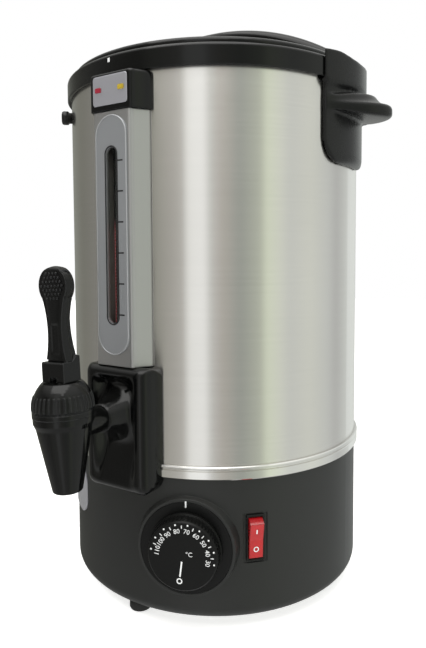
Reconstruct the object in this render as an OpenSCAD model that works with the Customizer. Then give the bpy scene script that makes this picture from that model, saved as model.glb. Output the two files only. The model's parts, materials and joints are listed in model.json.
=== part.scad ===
// Hot water urn with a steel shell, a sight glass, a spring tap, a dial thermostat and a rocker switch.
// Origin on the standing plane at the shell's axis, +Z up, the tap points along -Y.

/* [Shell and tank] */
// Outer radius of the steel shell
shell_r = 125; // [120:1:135]
// Sheet thickness of the steel shell
shell_t = 0.8; // [0.6:0.1:1.2]
// Height from the top of the base housing to the top of the rim ring
shell_h = 307; // [295:1:330]
// Gap between the shell and the inner tank
tank_gap = 9; // [8:0.5:12]
// Sheet thickness of the inner tank
tank_t = 0.8; // [0.6:0.1:1.2]
// Height of the tank bottom above the base housing
tank_lift = 14; // [12:1:18]

/* [Base] */
// Height of the base housing without its feet
base_h = 105.5; // [100:0.5:115]
// Wall of the base housing
base_wall = 3; // [2.5:0.5:4]
// Radius of the rounding at the housing's bottom edge
base_round = 9; // [5:1:14]
// Height of a foot below the housing
foot_h = 7; // [5:0.5:10]
// Radius of a foot
foot_r = 8; // [7:0.5:11]
// Distance of the feet's centres in from the shell's surface
foot_inset = 22; // [20:1:28]
// Height of the chrome trim band
band_h = 9.5; // [8:0.5:12]
// How far the trim band stands out from the shell
band_out = 2; // [1.2:0.1:2.5]

/* [Rim and lid] */
// Height of the rim ring's skirt
ring_h = 16; // [14:0.5:20]
// Wall of the rim ring's skirt
ring_wall = 3; // [2.4:0.1:3.5]
// Distance from the shell's surface in to the edge of the mouth
mouth_inset = 13; // [12:0.5:16]
// Distance from the shell's surface in to the lid's edge
lid_inset = 2; // [1:0.5:4]
// Height of the lid's flange
lid_edge_h = 5.3; // [4.5:0.1:7]
// Distance from the lid's edge in to the foot of the lid handle
arch_inset = 7.6; // [6:0.1:12]
// Height of the arch above the rim ring
arch_h = 52; // [48:0.5:56]
// Thickness of the lid handle
arch_t = 13; // [10:0.5:14]
// Width of the lid handle
arch_w = 34; // [28:1:36]

/* [Gauge column] */
// Half-width of the column's flat face
column_face = 17.8; // [16:0.1:20]
// Half-width of the column where it meets the shell
column_root = 24; // [22:0.5:26]
// How far the column stands out from the shell
column_out = 12.5; // [12:0.5:16]
// Wall of the column
column_wall = 2; // [1.6:0.1:2.5]
// Width of the gauge plate
plate_w = 29; // [26:0.5:32]
// Width of the window slot
window_w = 9.6; // [8:0.2:11]
// Distance from each end of the gauge plate to the window slot
window_inset = 23; // [20:1:28]
// Outer radius of the sight tube
tube_r = 3.6; // [3:0.1:4]
// Height of the lamp housing
lamp_h = 27.5; // [25:0.5:32]

/* [Tap] */
// Height of the tap's shank above the base housing
tap_h = 46; // [45:0.5:50]
// Distance of the tap's axis from the shell's axis
tap_reach = 187; // [182:0.5:195]
// Turn of the tap about its shank
tap_roll = -3; // [-4:0.5:0]
// Radius of the tap's shank
shank_r = 8.8; // [8.5:0.1:9.4]
// Radius of the shank's threaded end
thread_r = 8; // [7:0.1:8.4]
// Radius of the bonnet's band
bonnet_r = 20.2; // [19:0.1:22]
// Length of the spout below the shank's axis
spout_l = 39.4; // [36:0.2:44]
// Radius of the spout's mouth
spout_r = 10; // [9.5:0.1:12]
// Lift of the valve stem at the lever's limit
valve_lift = 3.4; // [3:0.1:4]
// Height of the paddle's centre above the shank's axis
paddle_h = 95.5; // [90:0.5:102]
// Half-width of the paddle
paddle_r = 12.6; // [11:0.1:14]
// Thickness of the lever
lever_t = 7.5; // [6:0.5:9]
// Half-width of the tap cover's front
cover_face = 26; // [25:0.5:28]
// How far the tap cover stands out from the shell
cover_out = 16; // [15:0.5:19]
// Height of the tap cover above the base housing
cover_h = 80.5; // [78:0.5:86]
// Depth of the tap cover below the top of the base housing
cover_drop = 12; // [11:0.5:15]

/* [Dial and switch] */
// Direction of the dial round the base
dial_az = 22.3; // [20:0.1:24]
// Depth of the dial's centre below the top of the base housing
dial_drop = 49.5; // [47:0.5:53]
// Radius of the dial knob's face
knob_r = 25.4; // [23:0.1:27]
// How far the knob stands out from its boss
knob_out = 12; // [10:0.5:15]
// Radius of the dial's boss
boss_r = 36; // [34:0.5:37]
// How far the boss's face stands out from the housing
boss_out = 4; // [3:0.5:6]
// Direction of the switch round the base
switch_az = 45.2; // [44.5:0.1:50]
// Depth of the switch's centre below the top of the base housing
switch_drop = 44.5; // [42:0.5:48]
// Width of the rocker
rocker_w = 10.3; // [9.5:0.1:11]
// Height of the rocker
rocker_h = 28.9; // [26:0.1:30]
// Tilt of the rocker each way
rocker_tilt = 8; // [6:1:9]

/* [Handles] */
// Height of a handle's bracket
handle_h = 82; // [76:1:88]
// Half-width of a handle's bracket
handle_half = 44; // [40:1:46]
// How far a handle's ledge stands out from the shell
ledge_out = 36; // [31:1:41]
// Half-width of a handle's ledge
ledge_half = 32; // [28:1:34]
// Thickness of a handle's ledge at its tip
ledge_t = 9; // [8:0.5:11]

/* [Clearances] */
// Gap between pieces that don't touch
gap = 0.3; // [0.3:0.05:0.4]
// Radial clearance of shafts, pins and screws
fit = 0.05; // [0.03:0.01:0.08]

/* [Hidden] */
$fn = 96;

deck_z = foot_h + base_h;
ring_top = deck_z + shell_h;
ring_z = ring_top - ring_h;
ring_r = shell_r + gap + ring_wall;
ring_flange_t = 3.6;
tank_lip_t = 1;
shell_top = ring_top - ring_flange_t - tank_lip_t;
shell_in = shell_r - shell_t;
tank_r = shell_in - tank_gap;
mouth_r = shell_r - mouth_inset;
lid_r = shell_r - lid_inset;
tank_z = deck_z + tank_lift;

tap_z = deck_z + tap_h;
cover_z = deck_z - cover_drop;
cover_top = deck_z + cover_h;
lamp_top = ring_z - gap;
lamp_z = lamp_top - lamp_h;
column_z = cover_top + gap;
column_top = lamp_z - gap;
column_y = shell_r + column_out;
plate_t = 0.8;
plate_margin = 2.5;
plate_z = column_z + 8;
plate_top = column_top - plate_margin;
window_z = plate_z + window_inset;
window_top = plate_top - window_inset;
elbow_z = plate_z + 14;
elbow_top = plate_top - 14;
elbow_half = 5;
elbow_pipe_r = 4;
elbow_body_r = 5;
tube_y = column_y - column_wall - gap - elbow_body_r;
boss_base_r = boss_r + 2;
boss_face = shell_r + boss_out;
dial_z = deck_z - dial_drop;
switch_z = deck_z - switch_drop;
shaft_r = 3;
pocket_w = 18.3;
pocket_h = 37;
bezel_w = 13.6;
bezel_h = 34.4;
pocket_face = shell_r - 1.2;
cover_t = 1;
screw_r = 1.75;
head_r = 3.4;
head_h = 2.2;
handle_top = ring_top + 4;
handle_z = handle_top - handle_h;
gland_az = 180;
gland_z = deck_z - 60;
gland_bore = 4;
gland_r = 8;
chamber_r = 13.4;
stem_r = 3;
seat_z = -10;
bonnet_z = 11;
bonnet_top = bonnet_z + 21.7;
block_w = 20;
block_d = 14.6;
block_h = 13.5;
pin_r = 1.5;
pin_z = bonnet_top + gap + 7;
lid_top = ring_top + gap + lid_edge_h;
lid_wall = 3;
plug_r = mouth_r - 1.6;
arch_foot = lid_r - arch_inset;
arch_rise = ring_top + arch_h - lid_top;
arch_r = (pow(arch_foot, 2) + pow(arch_rise, 2)) / (2 * arch_rise);
arch_z = ring_top + arch_h - arch_r;

// Places its children against the housing at a direction and height, +Y outwards and +Z up
module at_az(az, z) {
  translate([0, 0, z]) rotate([0, 0, az + 180]) children();
}

// Lays a flat outline in x and z, then extrudes it from y0 to y1
module slab_y(y0, y1) {
  translate([0, y1, 0]) rotate([90, 0, 0]) linear_extrude(height = y1 - y0) children();
}

// Lays a flat outline in y and z, then extrudes it from x0 to x1
module slab_x(x0, x1) {
  translate([x0, 0, 0]) rotate([90, 0, 90]) linear_extrude(height = x1 - x0) children();
}

// Rectangle with round corners, centred
module round_rect(w, h, r) {
  square([w - 2 * r, h], center = true);
  square([w, h - 2 * r], center = true);
  for (x = [-1, 1], y = [-1, 1])
    translate([x * (w / 2 - r), y * (h / 2 - r)]) circle(r = r);
}

// Slot with round ends from z0 to z1
module slot(w, z0, z1) {
  translate([-w / 2, z0 + w / 2]) square([w, z1 - z0 - w]);
  for (z = [z0 + w / 2, z1 - w / 2]) translate([0, z]) circle(r = w / 2);
}

// Points of an arc
function arc(cx, cy, r, a0, a1, n = 8) =
  [for (i = [0:n]) let (a = a0 + (a1 - a0) * i / n) [cx + r * cos(a), cy + r * sin(a)]];

// Cylinder along +Y
module rod_y(r, y0, y1) {
  translate([0, y1, 0]) rotate([90, 0, 0]) cylinder(r = r, h = y1 - y0);
}

// Cylinder along +X
module rod_x(r, x0, x1) {
  translate([x0, 0, 0]) rotate([0, 90, 0]) cylinder(r = r, h = x1 - x0);
}

// Pan-head screw along +Z, its head's top at 0
module pan_screw(r, l, head_r, head_h) {
  translate([0, 0, -l]) cylinder(r = r, h = l - head_h + 0.01);
  translate([0, 0, -head_h]) cylinder(r1 = head_r, r2 = head_r * 0.7, h = head_h);
}

// ---- base ----

foot_pitch_r = shell_r - foot_inset;
screw_pitch_r = shell_r - 20;
screw_azs = [75, 165, 255, 345];
deck_r = screw_pitch_r - 7;
open_r = shell_r - base_round - 4;
foot_azs = [0, 90, 180, 270];

// Solid outline of the base without its hollow
module base_form() {
  rotate_extrude() polygon(concat(
    [[0, foot_h], [shell_r - base_round, foot_h]],
    arc(shell_r - base_round, foot_h + base_round, base_round, -90, 0),
    [[shell_r, deck_z], [0, deck_z]]));
}

// Boss that carries the dial, less a setback when it is hollowed
module dial_boss(inset = 0) {
  at_az(dial_az, dial_z) rotate([-90, 0, 0]) translate([0, 0, boss_face - inset - 20])
    cylinder(r1 = boss_base_r + 2 - inset, r2 = boss_r - inset, h = 20);
}

// Flat pocket round the switch
module switch_pocket(grow = 0) {
  at_az(switch_az, switch_z) slab_y(pocket_face - grow, shell_r + 5)
    round_rect(pocket_w + 2 * grow, pocket_h + 2 * grow, 1 + grow);
}

module base_housing() {
  color([0.21, 0.22, 0.22]) {
    difference() {
      union() {
        base_form();
        dial_boss();
      }
      difference() {
        union() {
          translate([0, 0, foot_h + base_wall]) rotate_extrude() polygon([
            [0, -base_wall - 1], [open_r, -base_wall - 1], [open_r, 0], [shell_r - base_round + gap, 0],
            [shell_r - base_round + gap, cover_t], [shell_r - base_wall, base_round + cover_t],
            [shell_r - base_wall, base_h - 2 * base_wall], [0, base_h - 2 * base_wall]]);
          dial_boss(base_wall);
        }
        switch_pocket(base_wall);
      }
      translate([0, 0, deck_z - base_wall - 1]) cylinder(r = deck_r, h = base_wall + 2);
      switch_pocket();
      at_az(switch_az, switch_z) slab_y(90, pocket_face + 1) round_rect(bezel_w - 1.2 + 2 * gap, bezel_h - 1.6 + 2 * gap, 1);
      at_az(dial_az, dial_z) rod_y(thermostat_bush_r + gap, 90, boss_face + 5);
      at_az(dial_az, dial_z) rod_y(boss_r - 2.5 + gap, boss_face - dial_plate_t, boss_face + 5);
      at_az(gland_az, gland_z) rod_y(gland_r + gap, 90, shell_r + 5);
      at_az(gland_az, gland_z) rod_y(gland_flange_r + gap, shell_r - 1.2, shell_r + 5);
    }
    for (a = screw_azs) at_az(a, foot_h + cover_t + base_wall) translate([0, screw_pitch_r, 0]) {
      difference() {
        cylinder(r = 5, h = base_h - 2 * base_wall - cover_t);
        translate([0, 0, -1]) cylinder(r = screw_r + fit, h = 14);
      }
    }
  }
}

module bottom_cover() {
  color([0.55, 0.56, 0.57]) difference() {
    translate([0, 0, foot_h + base_wall]) cylinder(r = shell_r - base_round - gap, h = cover_t);
    for (a = screw_azs) at_az(a, foot_h) translate([0, screw_pitch_r, 0])
      cylinder(r = screw_r + fit, h = 10);
    for (a = foot_azs) at_az(a, foot_h) translate([0, foot_pitch_r, 0])
      cylinder(r = screw_r + fit, h = 10);
    for (x = [-30:12:30]) translate([x, 0, foot_h]) linear_extrude(height = 10)
      slot(4, -26, 26);
  }
}

module feet() {
  color([0.08, 0.08, 0.08]) for (a = foot_azs) at_az(a, 0) translate([0, foot_pitch_r, 0]) {
    rotate_extrude() polygon(concat(
      [[0, 0], [foot_r - 1.5, 0]], arc(foot_r - 1.5, 1.5, 1.5, -90, 0, 4),
      [[foot_r + 0.6, foot_h + base_wall], [0, foot_h + base_wall]]));
    translate([0, 0, foot_h + base_wall - 0.01]) cylinder(r = screw_r, h = cover_t + 0.01);
    translate([0, 0, foot_h + base_wall + cover_t])
      cylinder(r1 = 4, r2 = screw_r, h = 3);
  }
}

module cover_screws() {
  color([0.75, 0.76, 0.78]) for (a = screw_azs) at_az(a, foot_h + base_wall - 2.4)
    translate([0, screw_pitch_r, 0]) mirror([0, 0, 1]) pan_screw(screw_r, 12, 3.6, 2.4);
}

module trim_band() {
  color([0.85, 0.86, 0.88]) rotate_extrude() translate([shell_r, deck_z]) {
    r0 = 0.1;
    polygon(concat(
      [[r0, 0], [band_out, 0], [band_out + 0.4, 0.6], [band_out + 0.4, band_h - 3.8],
       [band_out - 0.6, band_h - 3.2], [band_out - 0.6, band_h - 2.6]],
      arc(band_out - 0.7, band_h - 1.3, 1.3, -90, 90),
      [[r0, band_h]]));
  }
}

module outer_shell() {
  color([0.74, 0.73, 0.70]) difference() {
    rotate_extrude() polygon([
      [shell_in, deck_z + 1], [shell_in - 8, deck_z + 1], [shell_in - 8, deck_z],
      [shell_r, deck_z], [shell_r, shell_top], [shell_in, shell_top]]);
    at_az(0, tap_z) rod_y(thread_r + gap, 110, shell_r + 5);
    for (z = [elbow_z, elbow_top]) at_az(0, z) rod_y(elbow_pipe_r + gap, 110, shell_r + 5);
    for (z = column_screw_zs) at_az(0, z) rod_y(screw_r + fit, 110, shell_r + 5);
    for (a = [90, 270], z = handle_screw_zs)
      at_az(a, z) rod_y(screw_r + fit, 110, shell_r + 5);
    at_az(0, lamp_z + lamp_h / 2) rod_y(4, 110, shell_r + 5);
  }
}

module inner_tank() {
  color([0.78, 0.78, 0.77]) difference() {
    rotate_extrude() polygon(concat(
      [[0, tank_z], [tank_r - 12, tank_z]], arc(tank_r - 12, tank_z + 12, 12, -90, 0),
      [[tank_r, shell_top], [shell_r, shell_top], [shell_r, shell_top + tank_lip_t],
       [tank_r - tank_t, shell_top + tank_lip_t]],
      arc(tank_r - 12, tank_z + 12, 12 - tank_t, 0, -90),
      [[0, tank_z + tank_t]]));
    at_az(0, tap_z) rod_y(thread_r + gap, 90, shell_r);
    for (z = [elbow_z, elbow_top]) at_az(0, z) rod_y(elbow_pipe_r + gap, 90, shell_r);
  }
}

// ---- rim and lid ----

module rim_ring() {
  color([0.10, 0.11, 0.11]) rotate_extrude() {
    r = 3;
    polygon(concat(
      [[shell_r + gap, ring_z + 0.6], [ring_r - 0.6, ring_z], [ring_r, ring_z + 0.6]],
      arc(ring_r - r, ring_top - r, r, 0, 90),
      arc(mouth_r + 1, ring_top - 1, 1, 90, 180, 4),
      [[mouth_r, ring_top - 9], [mouth_r + 1.8, ring_top - 9],
       [mouth_r + 1.8, ring_top - ring_flange_t], [shell_r + gap, ring_top - ring_flange_t]]));
  }
}

lid_flat_r = mouth_r - 28;
lid_crown = 6;
screw_x = arch_foot - 14.4;

module lid_cover() {
  color([0.07, 0.08, 0.08]) difference() {
    rotate_extrude() polygon(concat(
      [[0, lid_top + lid_crown - lid_wall], [lid_flat_r - 14, lid_top + lid_crown - 1 - lid_wall],
       [lid_flat_r, lid_top - lid_wall], [plug_r - lid_wall, lid_top - lid_wall],
       [plug_r - lid_wall, ring_top - 8], [plug_r, ring_top - 8], [plug_r, ring_top - 4],
       [plug_r - 1, ring_top - 4], [plug_r - 1, ring_top - 1.5], [plug_r, ring_top - 1.5],
       [plug_r, ring_top + gap], [lid_r - 1.5, ring_top + gap], [lid_r, ring_top + gap + 1]],
      arc(lid_r - 3.2, lid_top - 3.2, 3.2, 0, 90),
      [[lid_flat_r, lid_top], [lid_flat_r - 14, lid_top + lid_crown - 1], [0, lid_top + lid_crown]]));
    for (x = [-screw_x, screw_x]) translate([x, 0, lid_top - 20]) cylinder(r = screw_r + fit, h = 30);
  }
}

module lid_handle() {
  color([0.07, 0.08, 0.08]) difference() {
    intersection() {
      translate([0, 0, arch_z]) rotate([90, 0, 0]) rotate_extrude(angle = 180)
        translate([arch_r - arch_t / 2, 0]) round_rect(arch_t, arch_w, 5);
      translate([-lid_r, -arch_w, lid_top]) cube([2 * lid_r, 2 * arch_w, 80]);
    }
    for (x = [-screw_x, screw_x]) translate([x, 0, lid_top - 1]) cylinder(r = screw_r + fit, h = 9);
  }
}

module lid_gasket() {
  color([0.85, 0.84, 0.80]) rotate_extrude() polygon(concat(
    [[plug_r - 1 + fit, ring_top - 4 + fit], [plug_r, ring_top - 4 + fit]],
    arc(plug_r + 0.05, ring_top - 2.75, 1.15, -80, 80, 6),
    [[plug_r, ring_top - 1.5 - fit], [plug_r - 1 + fit, ring_top - 1.5 - fit]]));
}

module lid_screws() {
  color([0.75, 0.76, 0.78]) for (x = [-screw_x, screw_x]) translate([x, 0, lid_top - lid_wall - head_h])
    mirror([0, 0, 1]) pan_screw(screw_r, 12, head_r, head_h);
}

// ---- side plate ----

plate_az = -35.5;
side_plate_w = 46;
side_plate_h = 38;
side_plate_r = 13;
side_plate_t = 0.9;
side_plate_z = deck_z - 33;

module side_plate() {
  color([0.80, 0.80, 0.80]) intersection() {
    difference() {
      translate([0, 0, deck_z - base_h]) cylinder(r = shell_r + side_plate_t, h = base_h);
      translate([0, 0, deck_z - base_h - 1]) cylinder(r = shell_r + fit, h = base_h + 2);
    }
    at_az(plate_az, side_plate_z) slab_y(shell_r / 2, shell_r + 10)
      round_rect(side_plate_w, side_plate_h, side_plate_r);
  }
}

// ---- gauge column ----

column_boss_r = 4;
column_screw_zs = [elbow_z - elbow_half - column_boss_r - 1,
  elbow_top + elbow_half + column_boss_r + 0.6];

// Plan outline of the column, pulled in by a wall
module column_plan(wall = 0) {
  polygon(concat(
    [[column_root - wall, -shell_r + 6]],
    [[column_root - wall, -shell_r + 0.5 + wall]],
    arc(column_face - wall - 3, -column_y + wall + 3, 3, 0, -90, 5),
    arc(-column_face + wall + 3, -column_y + wall + 3, 3, -90, -180, 5),
    [[-column_root + wall, -shell_r + 0.5 + wall]],
    [[-column_root + wall, -shell_r + 6]]));
}

module gauge_column() {
  color([0.76, 0.77, 0.79]) {
    difference() {
      translate([0, 0, column_z]) linear_extrude(height = column_top - column_z) column_plan();
      translate([0, 0, column_z + column_wall])
        linear_extrude(height = column_top - column_z - 2 * column_wall) column_plan(column_wall);
      translate([0, 0, column_z - 1]) cylinder(r = shell_r + gap, h = column_top - column_z + 2);
      slab_y(-column_y - 1, -column_y + column_wall + 1) slot(window_w, window_z, window_top);
    }
    for (z = column_screw_zs) translate([0, 0, z]) difference() {
      rod_y(column_boss_r, -column_y + column_wall - 0.01, -shell_r - gap);
      rod_y(screw_r + fit, -shell_r - 8, -shell_r + 1);
    }
  }
}

module column_screws() {
  color([0.75, 0.76, 0.78]) for (z = column_screw_zs) translate([0, -shell_in + fit + head_h, z])
    rotate([-90, 0, 0]) pan_screw(screw_r, 9, head_r, head_h);
}

module gauge_plate() {
  color([0.66, 0.68, 0.71]) difference() {
    slab_y(-column_y - plate_t, -column_y) slot(plate_w, plate_z, plate_top);
    slab_y(-column_y - 2, -column_y + 1) slot(window_w, window_z, window_top);
  }
}

module sight_tube() {
  color([0.85, 0.90, 0.92, 0.4]) translate([0, -tube_y, elbow_z + elbow_half]) difference() {
    cylinder(r = tube_r, h = elbow_top - elbow_z - 2 * elbow_half);
    translate([0, 0, -1]) cylinder(r = tube_r - 1, h = elbow_top - elbow_z);
  }
}

module level_strip() {
  color([0.75, 0.30, 0.32]) slab_y(-tube_y + tube_r + gap, -shell_r - gap)
    round_rect_at(window_w + 2, window_z - 3, window_top + 3, 1);
}

// Rectangle with round corners from z0 to z1
module round_rect_at(w, z0, z1, r) {
  translate([0, (z0 + z1) / 2]) round_rect(w, z1 - z0, r);
}

// Elbow from the tank to one end of the tube, its outlet pointing up
module elbow() {
  difference() {
    union() {
      rod_y(elbow_pipe_r, -tube_y, -tank_r + 4);
      translate([0, -tube_y, -elbow_half]) cylinder(r = elbow_body_r, h = 2 * elbow_half);
    }
    rod_y(elbow_pipe_r - 1.5, -tube_y, -tank_r + 5);
    translate([0, -tube_y, 0]) cylinder(r = elbow_pipe_r - 1.5, h = 20);
  }
}

module tube_elbows() {
  color([0.80, 0.81, 0.83]) {
    translate([0, 0, elbow_z]) elbow();
    translate([0, 0, elbow_top]) mirror([0, 0, 1]) elbow();
  }
}

module tube_seals() {
  color([0.15, 0.15, 0.15]) for (z = [elbow_z, elbow_top]) {
    translate([0, 0, z]) difference() {
      rod_y(elbow_pipe_r + 3, -tank_r + tank_t + gap, -tank_r + tank_t + 2);
      rod_y(elbow_pipe_r + fit, -tank_r, -tank_r + 5);
    }
  }
}

// ---- lamps ----

lamp_y = column_y + 3;
lamp_x = 10.8;
lamp_face = 19.8;
lamp_root = 30;
lamp_centre = lamp_z + lamp_h / 2 + 2;

module lamp_plan() {
  polygon(concat(
    [[lamp_root, -shell_r + 10], [lamp_root, -shell_r + 3.5]],
    arc(lamp_face - 3, -lamp_y + 3, 3, 0, -90, 5),
    arc(-lamp_face + 3, -lamp_y + 3, 3, -90, -180, 5),
    [[-lamp_root, -shell_r + 3.5], [-lamp_root, -shell_r + 10]]));
}

module lamp_housing() {
  color([0.08, 0.09, 0.09]) difference() {
    translate([0, 0, lamp_z]) linear_extrude(height = lamp_h) lamp_plan();
    translate([0, 0, lamp_z - 1]) cylinder(r = shell_r + gap, h = lamp_h + 2);
    slab_x(-40, 40) polygon(concat(
      [[-lamp_y - 1, lamp_top - 5]], arc(-lamp_y + 5, lamp_top - 5, 5, 180, 90),
      [[-lamp_y + 5, lamp_top + 1], [-lamp_y - 1, lamp_top + 1]]));
    slab_y(-lamp_y - 1, -lamp_y + 1) translate([0, lamp_z + 11.5]) round_rect(34 + gap, 17.5 + gap, 2.2);
    for (x = [-lamp_x, lamp_x]) translate([x, 0, lamp_z + 13.5]) rod_y(3.2, -lamp_y, -shell_r + 5);
  }
}

module lamp_plate() {
  color([0.72, 0.72, 0.78]) difference() {
    slab_y(-lamp_y, -lamp_y + 1) translate([0, lamp_z + 11.5]) round_rect(34, 17.5, 2);
    for (x = [-lamp_x, lamp_x]) slab_y(-lamp_y - 1, -lamp_y + 2)
      translate([x, lamp_z + 13.5]) round_rect(5.6 + 2 * fit, 3.8 + 2 * fit, 1);
  }
}

// Lamp lens with its round body behind the plate
module lamp() {
  slab_y(-lamp_y - 0.5, -lamp_y + 1) translate([0, lamp_z + 13.5]) round_rect(5.6, 3.8, 0.95);
  translate([0, 0, lamp_z + 13.5]) rod_y(3.1, -lamp_y + 1, -shell_r - 2);
}

module lamp_red() {
  color([0.62, 0.12, 0.16]) translate([-lamp_x, 0, 0]) lamp();
}

module lamp_amber() {
  color([0.70, 0.62, 0.15]) translate([lamp_x, 0, 0]) lamp();
}

// ---- tap cover ----

cover_y = shell_r + cover_out;
cover_root = 31;
recess_back = shell_r + 4.5;

module tap_cover() {
  color([0.07, 0.08, 0.08]) difference() {
    intersection() {
      translate([0, 0, cover_z]) linear_extrude(height = cover_top - cover_z) polygon(concat(
        [[cover_root, -shell_r + 12], [cover_root, -shell_r + 2.5]],
        arc(cover_face - 5, -cover_y + 5, 5, 0, -90, 6),
        arc(-cover_face + 5, -cover_y + 5, 5, -90, -180, 6),
        [[-cover_root, -shell_r + 2.5], [-cover_root, -shell_r + 12]]));
      slab_y(-cover_y - 1, -80) round_rect_at(2 * cover_root, cover_z, cover_top, 9);
      slab_x(-cover_root - 1, cover_root + 1) polygon(concat(
        arc(-cover_y + 6, cover_top - 6, 6, 180, 90),
        [[-80, cover_top], [-80, cover_z], [-shell_r - 2, cover_z]],
        arc(-cover_y + 9, cover_z + 9, 9, -90, -180)));
    }
    translate([0, 0, deck_z + band_h + gap]) cylinder(r = shell_r + gap, h = 100);
    translate([0, 0, deck_z - gap]) cylinder(r = shell_r + band_out + 0.4 + gap, h = band_h + 2 * gap);
    translate([0, 0, cover_z - 1]) cylinder(r = shell_r + gap, h = 40);
    intersection() {
      slab_y(-cover_y - 5, -shell_r + 1) polygon(concat(
        [[20, cover_top - 8]], arc(16, cover_top - 11, 4, 40, 90, 4),
        arc(-16, cover_top - 11, 4, 90, 140, 4), [[-20, cover_top - 8]],
        arc(-16.5, cover_z + 16, 11, 180, 260, 6), arc(16.5, cover_z + 16, 11, -80, 0, 6)));
      slab_x(-40, 40) polygon(concat(
        [[-cover_y - 5, cover_top - 5], [-cover_y + 3, cover_top - 7]],
        arc(-recess_back - 8, cover_top - 16, 8, 80, 0, 6),
        arc(-recess_back - 16, cover_z + 26, 16, 0, -70, 8),
        [[-cover_y - 5, cover_z + 3]]));
    }
    translate([0, 0, tap_z]) rod_y(thread_r + fit, -cover_y - 5, -100);
  }
}

// ---- tap ----

// Frame of the tap: its axis is +Z, its shank runs along +Y from the origin
module tap_frame() {
  translate([0, -tap_reach, tap_z]) rotate([0, tap_roll, 0]) children();
}

shank_end = tap_reach - recess_back;
nut_y = tap_reach - tank_r + tank_t;
seal_t = 3.2;

module tap_body() {
  color([0.06, 0.06, 0.06]) tap_frame() difference() {
    union() {
      rotate_extrude() polygon(concat(
        [[0, -spout_l]], arc(spout_r - 1.5, -spout_l + 1.5, 1.5, -90, 0, 4),
        [[18.2, bonnet_z - 7.5], [bonnet_r - 0.4, bonnet_z - 4], [bonnet_r - 0.4, bonnet_z],
         [chamber_r + 2, bonnet_z], [chamber_r + 2, bonnet_z + 6], [0, bonnet_z + 6]]));
      rod_y(shank_r, 5, shank_end);
      rod_y(shank_r + 2.2, shank_end - 4, shank_end);
      rod_y(thread_r, shank_end - 1, nut_y + 12);
    }
    translate([0, 0, seat_z + 2]) cylinder(r = chamber_r, h = 40);
    translate([0, 0, seat_z - 2]) cylinder(r = 6, h = 10);
    translate([0, 0, -spout_l - 1]) cylinder(r = spout_r - 2, h = spout_l + seat_z - 1);
    rod_y(4.5, 4, nut_y + 13);
  }
}

module tap_seals() {
  color([0.75, 0.30, 0.20]) difference() {
    union() {
      intersection() {
        translate([0, 0, tap_z]) rod_y(13, -tank_r, -tank_r + tank_t + seal_t);
        cylinder(r = tank_r - tank_t - fit, h = ring_top);
      }
      difference() {
        intersection() {
          translate([0, 0, tap_z]) rod_y(12, -shell_r, -tank_r + tank_gap);
          cylinder(r = shell_in - fit, h = ring_top);
        }
        cylinder(r = tank_r + fit, h = ring_top);
      }
    }
    translate([0, 0, tap_z]) rod_y(thread_r + fit, -shell_r - 1, 0);
  }
}

module tap_nut() {
  color([0.12, 0.12, 0.12]) tap_frame() difference() {
    translate([0, nut_y + seal_t + 6, 0]) rotate([90, 0, 0]) cylinder(r = 15, h = 6, $fn = 6);
    rod_y(thread_r + fit, nut_y, nut_y + 20);
  }
}

dome_r = 22;
rib_count = 36;
rib_w = 1;
rib_out = 0.5;

// Half profile of the bonnet's dome, grown outwards
module dome_profile(grow = 0) {
  polygon(concat(
    [[bonnet_r - 4, bonnet_z + 4.6], [bonnet_r - 0.2 + grow, bonnet_z + 4.6]],
    arc(bonnet_r - dome_r - 0.25, bonnet_z + 5.85, dome_r + grow, -3.2, 45.9, 10),
    [[bonnet_r - 8, bonnet_top]]));
}

module tap_bonnet() {
  color([0.06, 0.06, 0.06]) tap_frame() {
    difference() {
      union() {
        rotate_extrude() polygon(concat(
          [[chamber_r + 2 + fit, bonnet_z], [bonnet_r, bonnet_z], [bonnet_r, bonnet_z + 3.2],
           [bonnet_r - 1, bonnet_z + 3.8], [bonnet_r - 0.2, bonnet_z + 4.6]],
          arc(bonnet_r - dome_r - 0.25, bonnet_z + 5.85, dome_r, -3.2, 45.9, 10),
          [[bonnet_r - 6.9, bonnet_top], [0, bonnet_top], [0, bonnet_z + 6 + fit],
           [chamber_r + 2 + fit, bonnet_z + 6 + fit]]));
        for (i = [0:rib_count - 1]) rotate([0, 0, i * 360 / rib_count]) intersection() {
          translate([0, rib_w / 2, 0]) rotate([90, 0, 0]) linear_extrude(height = rib_w)
            dome_profile(rib_out);
          translate([0, -rib_w, bonnet_z]) cube([bonnet_r + 2, 2 * rib_w, 14]);
        }
      }
      translate([0, 0, bonnet_z]) cylinder(r = chamber_r - 2, h = bonnet_top - bonnet_z - 3);
      cylinder(r = stem_r + fit, h = 60);
    }
  }
}

module valve_stem() {
  color([0.80, 0.80, 0.82]) tap_frame() difference() {
    union() {
      translate([0, 0, seat_z + 5]) cylinder(r = stem_r, h = pin_z + 3 - seat_z - 5);
      translate([0, 0, seat_z + 5 + gap]) cylinder(r = 8, h = 1.6);
    }
    translate([0, 0, pin_z]) rod_x(pin_r + fit, -10, 10);
  }
}

module seat_cup() {
  color([0.85, 0.85, 0.80]) tap_frame() difference() {
    rotate_extrude() polygon(concat(
      [[0, seat_z + 2 + 0.05]], arc(7, seat_z + 3.6, 1.5, -90, 0, 4),
      [[8.5, seat_z + 5 + gap], [0, seat_z + 5 + gap]]));
    translate([0, 0, seat_z + 5]) cylinder(r = stem_r + fit, h = 5);
  }
}

spring_r = 7.2;
spring_wire = 0.8;
spring_turns = 4;
spring_z = seat_z + 6.9 + gap + spring_wire;
spring_top = bonnet_top - 3 - spring_wire - 0.1;
spring_steps = 12;

// One ring of the spring's wire round its helix
function spring_ring(i) = let (
    a = 360 * i / spring_steps,
    z = spring_z + (spring_top - spring_z) * i / (spring_steps * spring_turns))
  [for (k = [0:5]) let (b = 60 * k, r = spring_r + spring_wire * cos(b))
    [r * cos(a), r * sin(a), z + spring_wire * sin(b)]];

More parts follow.
